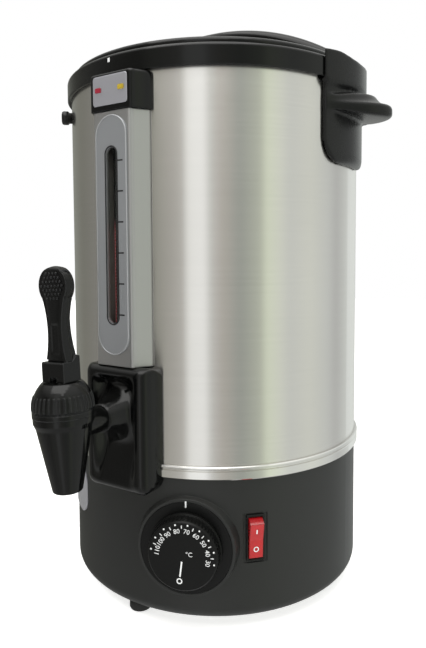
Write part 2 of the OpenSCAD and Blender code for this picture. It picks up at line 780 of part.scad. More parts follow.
module tap_spring() {
  n = spring_steps * spring_turns;
  color([0.70, 0.71, 0.73]) tap_frame() polyhedron(
    points = [for (i = [0:n]) each spring_ring(i)],
    faces = concat(
      [for (i = [0:n - 1], k = [0:5]) let (m = (k + 1) % 6, p = 6 * i, q = p + 6) [p + k, p + m, q + m]],
      [for (i = [0:n - 1], k = [0:5]) let (m = (k + 1) % 6, p = 6 * i, q = p + 6) [p + k, q + m, q + k]],
      [for (k = [1:4]) [0, k + 1, k]],
      [for (k = [1:4]) [6 * n, 6 * n + k, 6 * n + k + 1]]));
}

module lever_pin() {
  color([0.80, 0.80, 0.82]) tap_frame() translate([0, 0, pin_z])
    rod_x(pin_r, -block_w / 2 + 1, block_w / 2 - 1);
}

neck_half = 6.4;
neck_z = 66;
neck_curve = 0.0074;

module tap_lever() {
  color([0.06, 0.06, 0.06]) tap_frame() difference() {
    union() {
      slab_x(-block_w / 2, block_w / 2) polygon([
        [-block_d / 2, bonnet_top + gap], [block_d / 2, bonnet_top + gap],
        [block_d / 2, bonnet_top + block_h + 3], [block_d / 2 - 2.5, bonnet_top + block_h + 4],
        [1, bonnet_top + block_h], [-block_d / 2 + 0.8, bonnet_top + block_h],
        [-block_d / 2, bonnet_top + block_h - 0.8]]);
      intersection() {
        slab_y(-lever_t / 2, lever_t / 2 + 2) {
          translate([0, paddle_h]) circle(r = paddle_r);
          polygon(concat(
            [for (z = [bonnet_top + block_h - 1:3:paddle_h - 6])
              [neck_half + neck_curve * (z - neck_z) * (z - neck_z), z]],
            [for (z = [paddle_h - 6:-3:bonnet_top + block_h - 1])
              [-neck_half - neck_curve * (z - neck_z) * (z - neck_z), z]]));
        }
        slab_x(-20, 20) polygon(concat(
          [[-lever_t / 2, bonnet_top], [-lever_t / 2, paddle_h + paddle_r - 3]],
          arc(-lever_t / 2 + 3, paddle_h + paddle_r - 3, 3, 180, 90, 4),
          arc(lever_t / 2 - 2, paddle_h + paddle_r - 2, 2, 90, 0, 4),
          [[lever_t / 2, neck_z + 8], [lever_t / 2 + 2, bonnet_top + block_h + 6],
           [lever_t / 2 + 2, bonnet_top]]));
      }
    }
    translate([0, 0, pin_z]) rod_x(pin_r + fit, -block_w / 2 + 1 - fit, block_w / 2 - 1 + fit);
    translate([0, 0, pin_z]) slab_x(-stem_r - gap, stem_r + gap) polygon([
      [-3.4, 4.7], [4.6, 4.7], [4.6, 0], [3.4, -3], [3.4, -9], [-10.2, -9], [-8.6, -6], [-3.4, 1.4]]);
    slab_y(-20, -lever_t / 2 + 1.2) slot(8, bonnet_top + block_h + 3, neck_z + 6);
  }
}

// ---- dial and thermostat ----

dial_plate_t = 1;
thermostat_bush_r = 5;
knob_y = boss_face + gap;
knob_face = boss_face + knob_out;
knurl_count = 60;
knurl_w = 1.1;
knurl_out = 0.45;

module dial_plate() {
  color([0.08, 0.08, 0.08]) at_az(dial_az, dial_z) difference() {
    rod_y(boss_r - 2.5, boss_face - dial_plate_t, boss_face);
    rod_y(thermostat_bush_r + gap, boss_face - 5, boss_face + 5);
  }
}

module thermostat() {
  color([0.70, 0.68, 0.62]) at_az(dial_az, dial_z) difference() {
    union() {
      slab_y(boss_face - 30, boss_face - base_wall - gap) round_rect(34, 34, 3);
      rod_y(thermostat_bush_r, boss_face - 10, boss_face + 1.5);
    }
    rod_y(shaft_r + fit, boss_face - 20, boss_face + 5);
  }
}

module thermostat_nut() {
  color([0.78, 0.79, 0.80]) at_az(dial_az, dial_z) difference() {
    translate([0, boss_face + 1.4, 0]) rotate([90, 0, 0]) cylinder(r = 8, h = 1.4, $fn = 6);
    rod_y(thermostat_bush_r + fit, boss_face - 5, boss_face + 5);
  }
}

module dial_shaft() {
  color([0.80, 0.80, 0.82]) at_az(dial_az, dial_z) rod_y(shaft_r, boss_face - 19, boss_face + 9);
}

module dial_knob() {
  color([0.07, 0.07, 0.07]) at_az(dial_az, dial_z) difference() {
    union() {
      translate([0, knob_y, 0]) rotate([-90, 0, 0]) rotate_extrude() polygon([
        [6, knob_face - knob_y - 5], [6, 3.2], [0, 3.2], [0, knob_face - knob_y],
        [knob_r - 1.3, knob_face - knob_y], [knob_r - 0.3, knob_face - knob_y - 1],
        [knob_r + 0.2, 2.8], [knob_r + 1.2, 2.4], [knob_r + 1.2, 0], [knob_r - 4, 0],
        [knob_r - 4, knob_face - knob_y - 5]]);
      for (i = [0:knurl_count - 1]) rotate([0, i * 360 / knurl_count, 0])
        translate([knob_r - 1.5, knob_y + 3.2, -knurl_w / 2])
          cube([1.5 + knurl_out, knob_face - knob_y - 5, knurl_w]);
    }
    rod_y(shaft_r + fit, boss_face, boss_face + 9.1);
  }
}

bulb_r = 3;

module thermostat_bulb() {
  color([0.78, 0.60, 0.42]) at_az(dial_az, heater_z - gap - bulb_r)
    translate([0, 45, 0]) rod_x(bulb_r, -22, 22);
}

// ---- switch ----

rocker_axis = pocket_face - 3;
rocker_reach = rocker_h / 2 + 0.85;

module switch_body() {
  color([0.09, 0.09, 0.09]) at_az(switch_az, switch_z) difference() {
    union() {
      slab_y(pocket_face, pocket_face + 1.6) round_rect(bezel_w, bezel_h, 1);
      slab_y(pocket_face - 24, pocket_face + 0.5) round_rect(bezel_w - 1.2, bezel_h - 1.6, 1);
      for (z = [-9, 0, 9]) translate([-2.4, pocket_face - 32, z - 0.4]) cube([4.8, 9, 0.8]);
    }
    slab_y(rocker_axis - 9, pocket_face + 5) square([rocker_w + 2 * gap, 2 * rocker_reach + 2 * gap], center = true);
  }
}

module switch_rocker() {
  color([0.72, 0.08, 0.11]) at_az(switch_az, switch_z) translate([0, rocker_axis, 0])
    rotate([-rocker_tilt, 0, 0]) intersection() {
      rod_x(rocker_reach, -rocker_w / 2, rocker_w / 2);
      slab_x(-rocker_w / 2, rocker_w / 2) polygon([
        [-5, -4], [-5, 4], [-1, rocker_h / 2 + 2], [7.9, rocker_h / 2 + 2], [7.6, rocker_h / 2 - 1.6],
        [6.4, 0], [7.6, -rocker_h / 2 + 1.6], [7.9, -rocker_h / 2 - 2], [-1, -rocker_h / 2 - 2]]);
    }
}

// ---- handles ----

handle_screw_zs = [handle_z + 20, handle_z + 50];
ledge_z = handle_top - 33;
ledge_reach = shell_r + ledge_out;
bracket_out = 13;
bracket_bulge_r = 65;
hood_out = 19;
hood_bulge_r = 56;
hood_h = 24;
ledge_bulge_r = 66;

// Handle on the +X side
module handle() {
  difference() {
    union() {
      intersection() {
        translate([shell_r + bracket_out - bracket_bulge_r, 0, handle_z])
          cylinder(r = bracket_bulge_r, h = handle_h - hood_h + 2);
        slab_x(shell_r / 2, shell_r + bracket_out + 1)
          round_rect_at(2 * handle_half, handle_z, handle_top + 30, 24);
      }
      intersection() {
        translate([shell_r + hood_out - hood_bulge_r, 0, handle_z])
          cylinder(r = hood_bulge_r, h = handle_h);
        slab_y(-handle_half, handle_half) polygon([
          [shell_r / 2, handle_top - hood_h], [shell_r + hood_out + 6, handle_top - hood_h],
          [shell_r + hood_out + 6, handle_top - 7.5], [ring_r + 1, handle_top],
          [shell_r / 2, handle_top]]);
      }
      intersection() {
        slab_y(-ledge_half, ledge_half) polygon(concat(
          [[shell_r - 5, ledge_z - 10], [shell_r + bracket_out, ledge_z - 9]],
          arc(shell_r + 21, ledge_z - 8, 8, 180, 90, 6),
          [[ledge_reach - 1, ledge_z + 1], [ledge_reach, ledge_z + 2], [ledge_reach, ledge_z + ledge_t - 1],
           [ledge_reach - 1, ledge_z + ledge_t]],
          arc(ledge_reach - 9, ledge_z + ledge_t + 1, 2.2, 250, 200, 3),
          [[shell_r + 20, ledge_z + 13], [shell_r - 5, ledge_z + 13]]));
        translate([ledge_reach - ledge_bulge_r, 0, ledge_z - 20])
          cylinder(r = ledge_bulge_r, h = 60);
      }
    }
    translate([0, 0, handle_z - 1]) cylinder(r = shell_r + gap, h = handle_h + 2);
    translate([0, 0, ring_z - gap]) cylinder(r = ring_r + gap, h = ring_h + 20);
    for (z = handle_screw_zs) translate([0, 0, z]) rod_x(screw_r + fit, shell_r - 15, shell_r + 9);
  }
}

module handle_right() {
  color([0.10, 0.11, 0.11]) handle();
}

module handle_left() {
  color([0.10, 0.11, 0.11]) mirror([1, 0, 0]) handle();
}

module handle_screws() {
  color([0.75, 0.76, 0.78]) for (s = [0, 180], z = handle_screw_zs) rotate([0, 0, s])
    translate([shell_in - fit - head_h, 0, z]) rotate([0, -90, 0]) pan_screw(screw_r, 10, head_r, head_h);
}

// ---- heater ----

heater_r = tank_r - 30;
heater_t = 3;
heater_z = tank_z - heater_t - gap;
element_r = heater_r - 23;
element_rod_r = 4;

module heater_plate() {
  color([0.68, 0.69, 0.70]) difference() {
    translate([0, 0, heater_z]) cylinder(r = heater_r, h = heater_t);
    translate([0, 0, tank_z - 5]) cylinder(r = 14, h = 6);
  }
}

module heating_element() {
  color([0.45, 0.42, 0.40]) translate([0, 0, heater_z - gap - element_rod_r]) {
    rotate([0, 0, 15]) rotate_extrude(angle = 330) translate([element_r, 0]) circle(r = element_rod_r);
    for (s = [-1, 1]) rotate([0, 0, s * 15]) translate([element_r, 0, -14])
      cylinder(r = 2.5, h = 14);
  }
}

module heater_nuts() {
  color([0.75, 0.76, 0.78]) for (a = [60, 180, 300]) rotate([0, 0, a])
    translate([30, 0, heater_z - 5]) cylinder(r = 5, h = 5, $fn = 6);
}

module thermal_cutout() {
  color([0.30, 0.27, 0.25]) translate([0, 0, tank_z - 10]) {
    cylinder(r = 8, h = 10 - gap);
    translate([0, 0, -3]) cylinder(r = 5, h = 3.1);
  }
}

module terminal_block() {
  color([0.85, 0.84, 0.80]) translate([-20, 60, foot_h + base_wall + cover_t])
    cube([40, 20, 16]);
}

// ---- cord gland ----

gland_flange_r = 12;

module cord_gland() {
  color([0.07, 0.07, 0.07]) at_az(gland_az, gland_z) difference() {
    union() {
      rod_y(gland_flange_r, shell_r - 1.2, shell_r + 1.5);
      translate([0, shell_r + 1.5, 0]) rotate([-90, 0, 0]) cylinder(r1 = 8.5, r2 = 7, h = 9);
      rod_y(gland_r, shell_r - 16, shell_r);
    }
    rod_y(gland_bore, 90, shell_r + 20);
  }
}

module gland_nut() {
  color([0.12, 0.12, 0.12]) at_az(gland_az, gland_z) difference() {
    translate([0, shell_r - base_wall - 3 * gap, 0]) rotate([90, 0, 0]) cylinder(r = 12, h = 5, $fn = 6);
    rod_y(gland_r + fit, 90, shell_r);
  }
}

base_housing();
bottom_cover();
feet();
cover_screws();
trim_band();
outer_shell();
inner_tank();
rim_ring();
side_plate();
gauge_column();
gauge_plate();
sight_tube();
level_strip();
tube_elbows();
tube_seals();
column_screws();
lamp_housing();
lamp_plate();
lamp_red();
lamp_amber();
tap_cover();
tap_body();
tap_seals();
tap_nut();
tap_bonnet();
valve_stem();
seat_cup();
tap_spring();
lever_pin();
tap_lever();
dial_plate();
thermostat();
thermostat_nut();
thermostat_bulb();
dial_shaft();
dial_knob();
switch_body();
switch_rocker();
handle_right();
handle_left();
handle_screws();
heater_plate();
heating_element();
heater_nuts();
thermal_cutout();
terminal_block();
cord_gland();
gland_nut();
lid_cover();
lid_handle();
lid_gasket();
lid_screws();
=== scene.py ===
import json
import math
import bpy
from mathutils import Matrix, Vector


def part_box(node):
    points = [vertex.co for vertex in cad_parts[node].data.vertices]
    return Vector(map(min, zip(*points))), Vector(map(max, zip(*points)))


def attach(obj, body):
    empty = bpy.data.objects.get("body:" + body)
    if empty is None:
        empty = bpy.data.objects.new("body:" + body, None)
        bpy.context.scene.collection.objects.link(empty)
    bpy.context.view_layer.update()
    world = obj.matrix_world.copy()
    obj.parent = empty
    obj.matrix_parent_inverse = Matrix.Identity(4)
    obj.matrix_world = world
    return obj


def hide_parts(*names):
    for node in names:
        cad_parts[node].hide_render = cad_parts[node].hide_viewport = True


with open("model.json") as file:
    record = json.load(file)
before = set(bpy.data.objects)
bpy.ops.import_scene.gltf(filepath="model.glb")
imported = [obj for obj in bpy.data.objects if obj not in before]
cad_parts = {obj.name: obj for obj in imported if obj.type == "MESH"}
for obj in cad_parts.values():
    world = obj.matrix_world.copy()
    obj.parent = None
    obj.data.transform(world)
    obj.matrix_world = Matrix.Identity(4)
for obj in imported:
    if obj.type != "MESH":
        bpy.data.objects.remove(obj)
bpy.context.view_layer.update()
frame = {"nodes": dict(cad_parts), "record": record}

from types import SimpleNamespace

import bmesh
import bpy
import numpy as np
from mathutils import Matrix, Vector

scene = bpy.context.scene
print("urn: frame loaded,", len(frame["nodes"]), "nodes")

# Camera

camera = dict(
    place=(0.28297, -0.45286, 0.2747),  # metres, in the urn's own frame
    downDegrees=3.21,
    turnDegrees=32.5,
    rollDegrees=-0.32,
    lens=32.356,  # 582.4 px focal length on a frame 648 px high
    sensor=36.0,
    nearest=0.02,
    shiftX=0.0049,
    shiftY=-0.0593,
)


def addObject(name, data):
    thing = bpy.data.objects.new(name, data)
    scene.collection.objects.link(thing)
    return thing


def read(values):
    # A dictionary's values as attributes
    return SimpleNamespace(**values)


def makeCamera():
    c = read(camera)
    data = bpy.data.cameras.new("urnCamera")
    data.lens, data.sensor_width, data.clip_start = c.lens, c.sensor, c.nearest
    data.shift_x, data.shift_y = c.shiftX, c.shiftY
    lens = addObject("urnCamera", data)
    lens.location = c.place
    turns = ((c.turnDegrees, "Z"), (90 - c.downDegrees, "X"), (c.rollDegrees, "Z"))
    turn, tip, roll = (Matrix.Rotation(math.radians(angle), 3, axis) for angle, axis in turns)
    lens.rotation_euler = (turn @ tip @ roll).to_euler()
    scene.camera = lens


makeCamera()
scene.view_settings.view_transform = "Standard"
print("urn: camera set")

# Small helpers for node trees

def feed(socket, value):
    # Gives an input a number, a colour, a vector or another node's output
    if isinstance(value, (int, float)):
        socket.default_value = value
    elif isinstance(value, tuple):
        socket.default_value = (*value, 1)[:len(socket.default_value)]
    else:
        socket.id_data.links.new(value, socket)


def addNode(tree, kind, values=None, **settings):
    # One shader node, its settings and what feeds its inputs
    node = tree.nodes.new("ShaderNode" + kind)
    for name, value in settings.items():
        setattr(node, name, value)
    for name, value in (values or {}).items():
        feed(node.inputs[name], value)
    return node


def treeOf(*values):
    # The tree that the first socket among some values belongs to
    return next(value for value in values if hasattr(value, "id_data")).id_data


def addMath(operation, *terms):
    # A maths node whose inputs are numbers or sockets
    return addNode(treeOf(*terms), "Math", dict(enumerate(terms)), operation=operation).outputs[0]


def addNoise(place, scale, detail, roughness=0.5):
    values = {"Vector": place, "Scale": scale, "Detail": detail, "Roughness": roughness}
    return addNode(place.id_data, "TexNoise", values).outputs["Fac"]


def addRange(value, **ends):
    # Maps a value from one range to another; ends are fromLow, fromHigh, toLow and toHigh
    names = dict(fromLow="From Min", fromHigh="From Max", toLow="To Min", toHigh="To Max")
    values = {names[end]: number for end, number in ends.items()}
    return addNode(value.id_data, "MapRange", {"Value": value, **values}).outputs[0]


def addRamp(factor, stops):
    # A colour ramp from (position, colour) pairs; a grey may be one number
    node = addNode(factor.id_data, "ValToRGB", {0: factor})
    elements = node.color_ramp.elements
    while len(elements) > 1:
        elements.remove(elements[-1])
    for index, (position, colour) in enumerate(stops):
        element = elements[0] if index == 0 else elements.new(position)
        element.position = position
        element.color = (colour, colour, colour, 1) if isinstance(colour, float) else (*colour, 1)
    return node.outputs[0]


def mixColours(factor, first, second, blend="MIX"):
    # Mixes two colours, each a tuple or a socket
    node = addNode(treeOf(factor, first, second), "Mix", data_type="RGBA", blend_type=blend)
    for index, value in zip((0, 6, 7), (factor, first, second)):
        feed(node.inputs[index], value)
    return node.outputs[2]


def shadeBy(colour, value):
    # A colour times one number
    grey = addNode(value.id_data, "CombineColor", {0: value, 1: value, 2: value})
    return mixColours(1.0, colour, grey.outputs[0], "MULTIPLY")


def splitUp(vector):
    return addNode(vector.id_data, "SeparateXYZ", {0: vector}).outputs


def angleRound(parts):
    # The direction round the urn, in radians from the tap's side: the arc tangent of x over minus y
    return addMath("ARCTAN2", parts["X"], addMath("MULTIPLY", parts["Y"], -1.0))


def emptyTree(holder):
    holder.use_nodes = True
    holder.node_tree.nodes.clear()
    return holder.node_tree


def newGroup(name, inputs, outputs):
    # An empty shader group: inputs with their values, None for a vector, and the names of its outputs
    tree = bpy.data.node_groups.new(name, "ShaderNodeTree")
    for socketName, value in inputs.items():
        kind = "Vector" if value is None else "Color" if isinstance(value, tuple) else "Float"
        socket = tree.interface.new_socket(name=socketName, in_out="INPUT", socket_type="NodeSocket" + kind)
        if value is not None:
            socket.default_value = value
    for socketName in outputs:
        kind = "Color" if socketName == "Color" else "Float"
        tree.interface.new_socket(name=socketName, in_out="OUTPUT", socket_type="NodeSocket" + kind)
    return tree, tree.nodes.new("NodeGroupInput").outputs, tree.nodes.new("NodeGroupOutput").inputs


# Shared surface effects

def makeMottleGroup():
    # Moulded plastic: slow cloudy change of colour and roughness, and a fine spark texture as height
    tree, start, end = newGroup("mouldedMottle", {
        "Vector": None, "Color": (0.02, 0.02, 0.02, 1), "Roughness": 0.4, "Cloud Size": 30.0,
        "Grain Size": 1400.0, "Color Change": 0.15, "Roughness Change": 0.08
    }, ("Color", "Roughness", "Height"))
    grain = addNoise(start["Vector"], start["Grain Size"], 2.0)
    drift = addMath("SUBTRACT", addNoise(start["Vector"], start["Cloud Size"], 4.0, 0.6), 0.5)
    both = addMath("MULTIPLY_ADD", addMath("SUBTRACT", grain, 0.5), 0.6, drift)
    bright = addMath("MULTIPLY_ADD", both, start["Color Change"], 1.0)
    feed(end["Color"], shadeBy(start["Color"], bright))
    feed(end["Roughness"], addMath("MULTIPLY_ADD", drift, start["Roughness Change"], start["Roughness"]))
    feed(end["Height"], grain)
    return tree


def makeWearGroup():
    # Edges in another colour: paler from wear on most finishes, a painted highlight on the glossy blacks
    # and a painted darker rim on the lenses; the mask is the difference between the rounded and the true
    # normal, broken up by noise
    tree, start, end = newGroup("edgeWearAndPaintedLight", {
        "Vector": None, "Color": (0.02, 0.02, 0.02, 1), "Rubbed Color": (0.1, 0.1, 0.1, 1),
        "Roughness": 0.4, "Width": 0.0012, "Amount": 0.5}, ("Color", "Roughness"))
    soft = addNode(tree, "Bevel", {"Radius": start["Width"]}, samples=4).outputs[0]
    true = addNode(tree, "NewGeometry").outputs["Normal"]
    dot = addNode(tree, "VectorMath", {0: soft, 1: true}, operation="DOT_PRODUCT").outputs["Value"]
    turned = addRange(addMath("SUBTRACT", 1.0, dot), fromLow=0.02, fromHigh=0.22)
    patch = addMath("MULTIPLY", addNoise(start["Vector"], 90.0, 5.0, 0.65), 1.5)
    mask = addMath("MULTIPLY", addMath("MULTIPLY", turned, patch), start["Amount"])
    held = addNode(tree, "Clamp", {"Value": mask}).outputs[0]
    feed(end["Color"], mixColours(held, start["Color"], start["Rubbed Color"]))
    feed(end["Roughness"], addMath("MULTIPLY_ADD", held, -0.12, start["Roughness"]))
    return tree


def makeDustGroup():
    # A thin film on faces that look up: colour and roughness rise with the normal's upward part and noise
    tree, start, end = newGroup("topDust", {
        "Vector": None, "Color": (0.02, 0.02, 0.02, 1), "Roughness": 0.4, "Amount": 0.2
    }, ("Color", "Roughness"))
    facing = splitUp(addNode(tree, "NewGeometry").outputs["Normal"])
    upward = addRange(facing["Z"], fromLow=0.35, fromHigh=1.0)
    speck = addMath("MULTIPLY", upward, addNoise(start["Vector"], 260.0, 6.0, 0.7))
    mask = addMath("MULTIPLY", speck, start["Amount"])
    feed(end["Color"], mixColours(mask, start["Color"], (0.35, 0.34, 0.32)))
    feed(end["Roughness"], addMath("MULTIPLY_ADD", mask, 0.4, start["Roughness"]))
    return tree


def makeBrushGroup():
    # Lines left by a belt: fine and coarse noise stretched along the run, as shade, roughness and height
    tree, start, end = newGroup("beltLines", {
        "Vector": None, "Color": (0.7, 0.7, 0.7, 1), "Roughness": 0.3, "Shade Change": 0.12,
        "Roughness Change": 0.12}, ("Color", "Roughness", "Height"))
    fine = addMath("MULTIPLY", addNoise(start["Vector"], 1.0, 3.0, 0.7), 0.6)
    coarse = addMath("MULTIPLY", addNoise(start["Vector"], 0.16, 3.0, 0.6), 0.4)
    both = addMath("ADD", fine, coarse)
    drift = addMath("SUBTRACT", both, 0.5)
    bright = addMath("MULTIPLY_ADD", drift, start["Shade Change"], 1.0)
    feed(end["Color"], shadeBy(start["Color"], bright))
    feed(end["Roughness"], addMath("MULTIPLY_ADD", drift, start["Roughness Change"], start["Roughness"]))
    feed(end["Height"], both)
    return tree


mouldedMottle = makeMottleGroup()
edgeWearAndPaintedLight = makeWearGroup()
topDust = makeDustGroup()
beltLines = makeBrushGroup()
print("urn: shared effects ready")


# Materials

def startMaterial(name, sockets):
    # A new material with its own shader; constants go on the shader's own sockets
    material = bpy.data.materials.new(name)
    tree = emptyTree(material)
    shader = addNode(tree, "BsdfPrincipled", {"IOR": 1.5, **sockets})
    addNode(tree, "OutputMaterial", {0: shader.outputs[0]})
    return material, shader.inputs, addNode(tree, "TexCoord").outputs["Object"]


def addGroup(group, before=None, **values):
    # One shared effect with its own values; colour and roughness may come from the effect before it
    sockets = {}
    for name, value in values.items():
        spaced = "".join(" " + letter if letter.isupper() else letter for letter in name)
        sockets[spaced[0].upper() + spaced[1:]] = value
    if before:
        sockets.update({"Color": before["Color"], "Roughness": before["Roughness"]})
    return addNode(values["vector"].id_data, "Group", sockets, node_tree=group).outputs


def addBump(shader, height, distance, edgeRadius=0.0):
    # Height as a bump over edges that are rounded for the eye
    tree = height.id_data
    bump = addNode(tree, "Bump", {"Strength": 1.0, "Distance": distance, "Height": height})
    if edgeRadius:
        soft = addNode(tree, "Bevel", {"Radius": edgeRadius}, samples=4)
        feed(bump.inputs["Normal"], soft.outputs[0])
    feed(shader["Normal"], bump.outputs[0])


def setSurface(shader, effect):
    feed(shader["Base Color"], effect["Color"])
    feed(shader["Roughness"], effect["Roughness"])


def plastic(name, colour, roughness, grain=0.00002, grainSize=1400.0, change=0.25, rubbed=None, wear=0.35,
            dust=0.12, edge=0.0008, specular=0.5):
    # Moulded plastic or rubber: mottle, edges paler from wear, and a film of dust; a bright edge colour
    # given for the glossy blacks adds a painted highlight along their edges
    material, shader, place = startMaterial(name, {"Specular IOR Level": specular})
    rubbed = rubbed or tuple(min(1, c * 2.2 + 0.015) for c in colour)
    mottle = addGroup(mouldedMottle, vector=place, color=colour, roughness=roughness, cloudSize=30.0,
                      grainSize=grainSize, colorChange=change)
    # Edge colour: paler wear by default, a painted highlight where a bright colour is given
    wornAndGlinting = addGroup(edgeWearAndPaintedLight, mottle, vector=place, rubbedColor=rubbed, amount=wear)
    setSurface(shader, addGroup(topDust, wornAndGlinting, vector=place, amount=dust))
    addBump(shader, mottle["Height"], grain, edge)
    return material


def aroundPlace(place, along, across):
    # Coordinates for lines that run round the urn: (angle times along, 0, height times across)
    parts = splitUp(place)
    run, height = addMath("MULTIPLY", angleRound(parts), along), addMath("MULTIPLY", parts["Z"], across)
    return addNode(place.id_data, "CombineXYZ", {"X": run, "Z": height}).outputs[0]


def brushedRound(name, colour, roughness, anisotropy, along=5.0, across=5200.0, shade=0.12,
                 height=0.000004):
    # Metal brushed round the urn: the highlight stretches up and down, across the lines
    material, shader, place = startMaterial(name, {
        "Metallic": 1.0, "Anisotropic": anisotropy, "Anisotropic Rotation": 0.25})
    lines = addGroup(beltLines, vector=aroundPlace(place, along, across), color=colour,
                     roughness=roughness, shadeChange=shade)
    patch = addRange(addNoise(place, 9.0, 3.0), toLow=0.94, toHigh=1.04)
    feed(shader["Base Color"], shadeBy(lines["Color"], patch))
    feed(shader["Roughness"], lines["Roughness"])
    feed(shader["Tangent"], addNode(place.id_data, "Tangent", direction_type="RADIAL", axis="Z").outputs[0])
    addBump(shader, lines["Height"], height)
    return material


def satinMetal(name, colour, roughness, metallic=1.0, stretch=(300.0, 300.0, 5000.0), shade=0.1,
               height=0.000003, edge=0.0005, wear=0.2):
    # Plated, cast or painted metal with faint straight lines
    material, shader, place = startMaterial(name, {"Metallic": metallic})
    run = addNode(place.id_data, "Mapping", {"Vector": place, "Scale": stretch}).outputs[0]
    lines = addGroup(beltLines, vector=run, color=colour, roughness=roughness, shadeChange=shade)
    rubbed = tuple(min(1, c * 1.25) for c in colour)
    setSurface(shader,
               addGroup(edgeWearAndPaintedLight, lines, vector=place, rubbedColor=rubbed, amount=wear, width=0.0006))
    addBump(shader, lines["Height"], height, edge)
    return material


def lensPlastic(name, colour, glow, roughness=0.12):
    # Coloured translucent plastic: a painted darker rim standing in for shade, with a faint inner light
    material, shader, place = startMaterial(name, {
        "Coat Weight": 0.6, "Coat Roughness": 0.05, "Emission Strength": glow})
    mottle = addGroup(mouldedMottle, vector=place, color=colour, roughness=roughness, cloudSize=120.0,
                      colorChange=0.5)
    # Painted shade: the rim is darkened to a third of the lens colour
    rim = addGroup(edgeWearAndPaintedLight, mottle, vector=place, rubbedColor=tuple(c * 0.35 for c in colour),
                   amount=1.0, width=0.0014)
    setSurface(shader, rim)
    feed(shader["Emission Color"], rim["Color"])
    addBump(shader, mottle["Height"], 0.00001, 0.0005)
    return material


hatch = dict(slant=1.1, halfPitch=0.0012, waterLow=0.290, waterHigh=0.300, glow=0.12,
             # (share of the half pitch, colour)
             stripes=[(0.0, (0.34, 0.02, 0.03)), (0.42, (0.38, 0.03, 0.04)), (0.6, (0.50, 0.22, 0.21)),
                      (1.0, (0.55, 0.28, 0.26))])


def levelPrint():
    # The strip behind the tube: slanting red and pink hatch up to the water line, near black above it; it
    # glows faintly in its own colours as painted light
    h = read(hatch)
    # Painted light: the strip glows faintly in its own colours, though it is no lamp
    material, shader, place = startMaterial("levelPrint", {"Emission Strength": h.glow})
    parts = splitUp(place)
    slant = addMath("MULTIPLY_ADD", parts["X"], h.slant, parts["Z"])
    wave = addMath("PINGPONG", slant, h.halfPitch)
    stripe = addRamp(addMath("DIVIDE", wave, h.halfPitch), h.stripes)
    level = addRange(parts["Z"], fromLow=h.waterLow, fromHigh=h.waterHigh)
    speck = addNoise(place, 500.0, 4.0)
    colour = mixColours(level, stripe, addRamp(speck, [(0.3, 0.006), (0.7, 0.02)]))
    feed(shader["Base Color"], colour)
    feed(shader["Emission Color"], colour)
    feed(shader["Roughness"], addRange(speck, toLow=0.35, toHigh=0.6))
    addBump(shader, speck, 0.00001)
    return material


def clearTube():
    # Clear glass for the sight tube: smooth, with faint drawn waviness as bump
    material, shader, place = startMaterial("clearTube", {
        "IOR": 1.09, "Transmission Weight": 1.0, "Base Color": (0.9, 0.95, 0.96), "Roughness": 0.03})
    addBump(shader, addNoise(place, 60.0, 2.0), 0.00003)
    return material


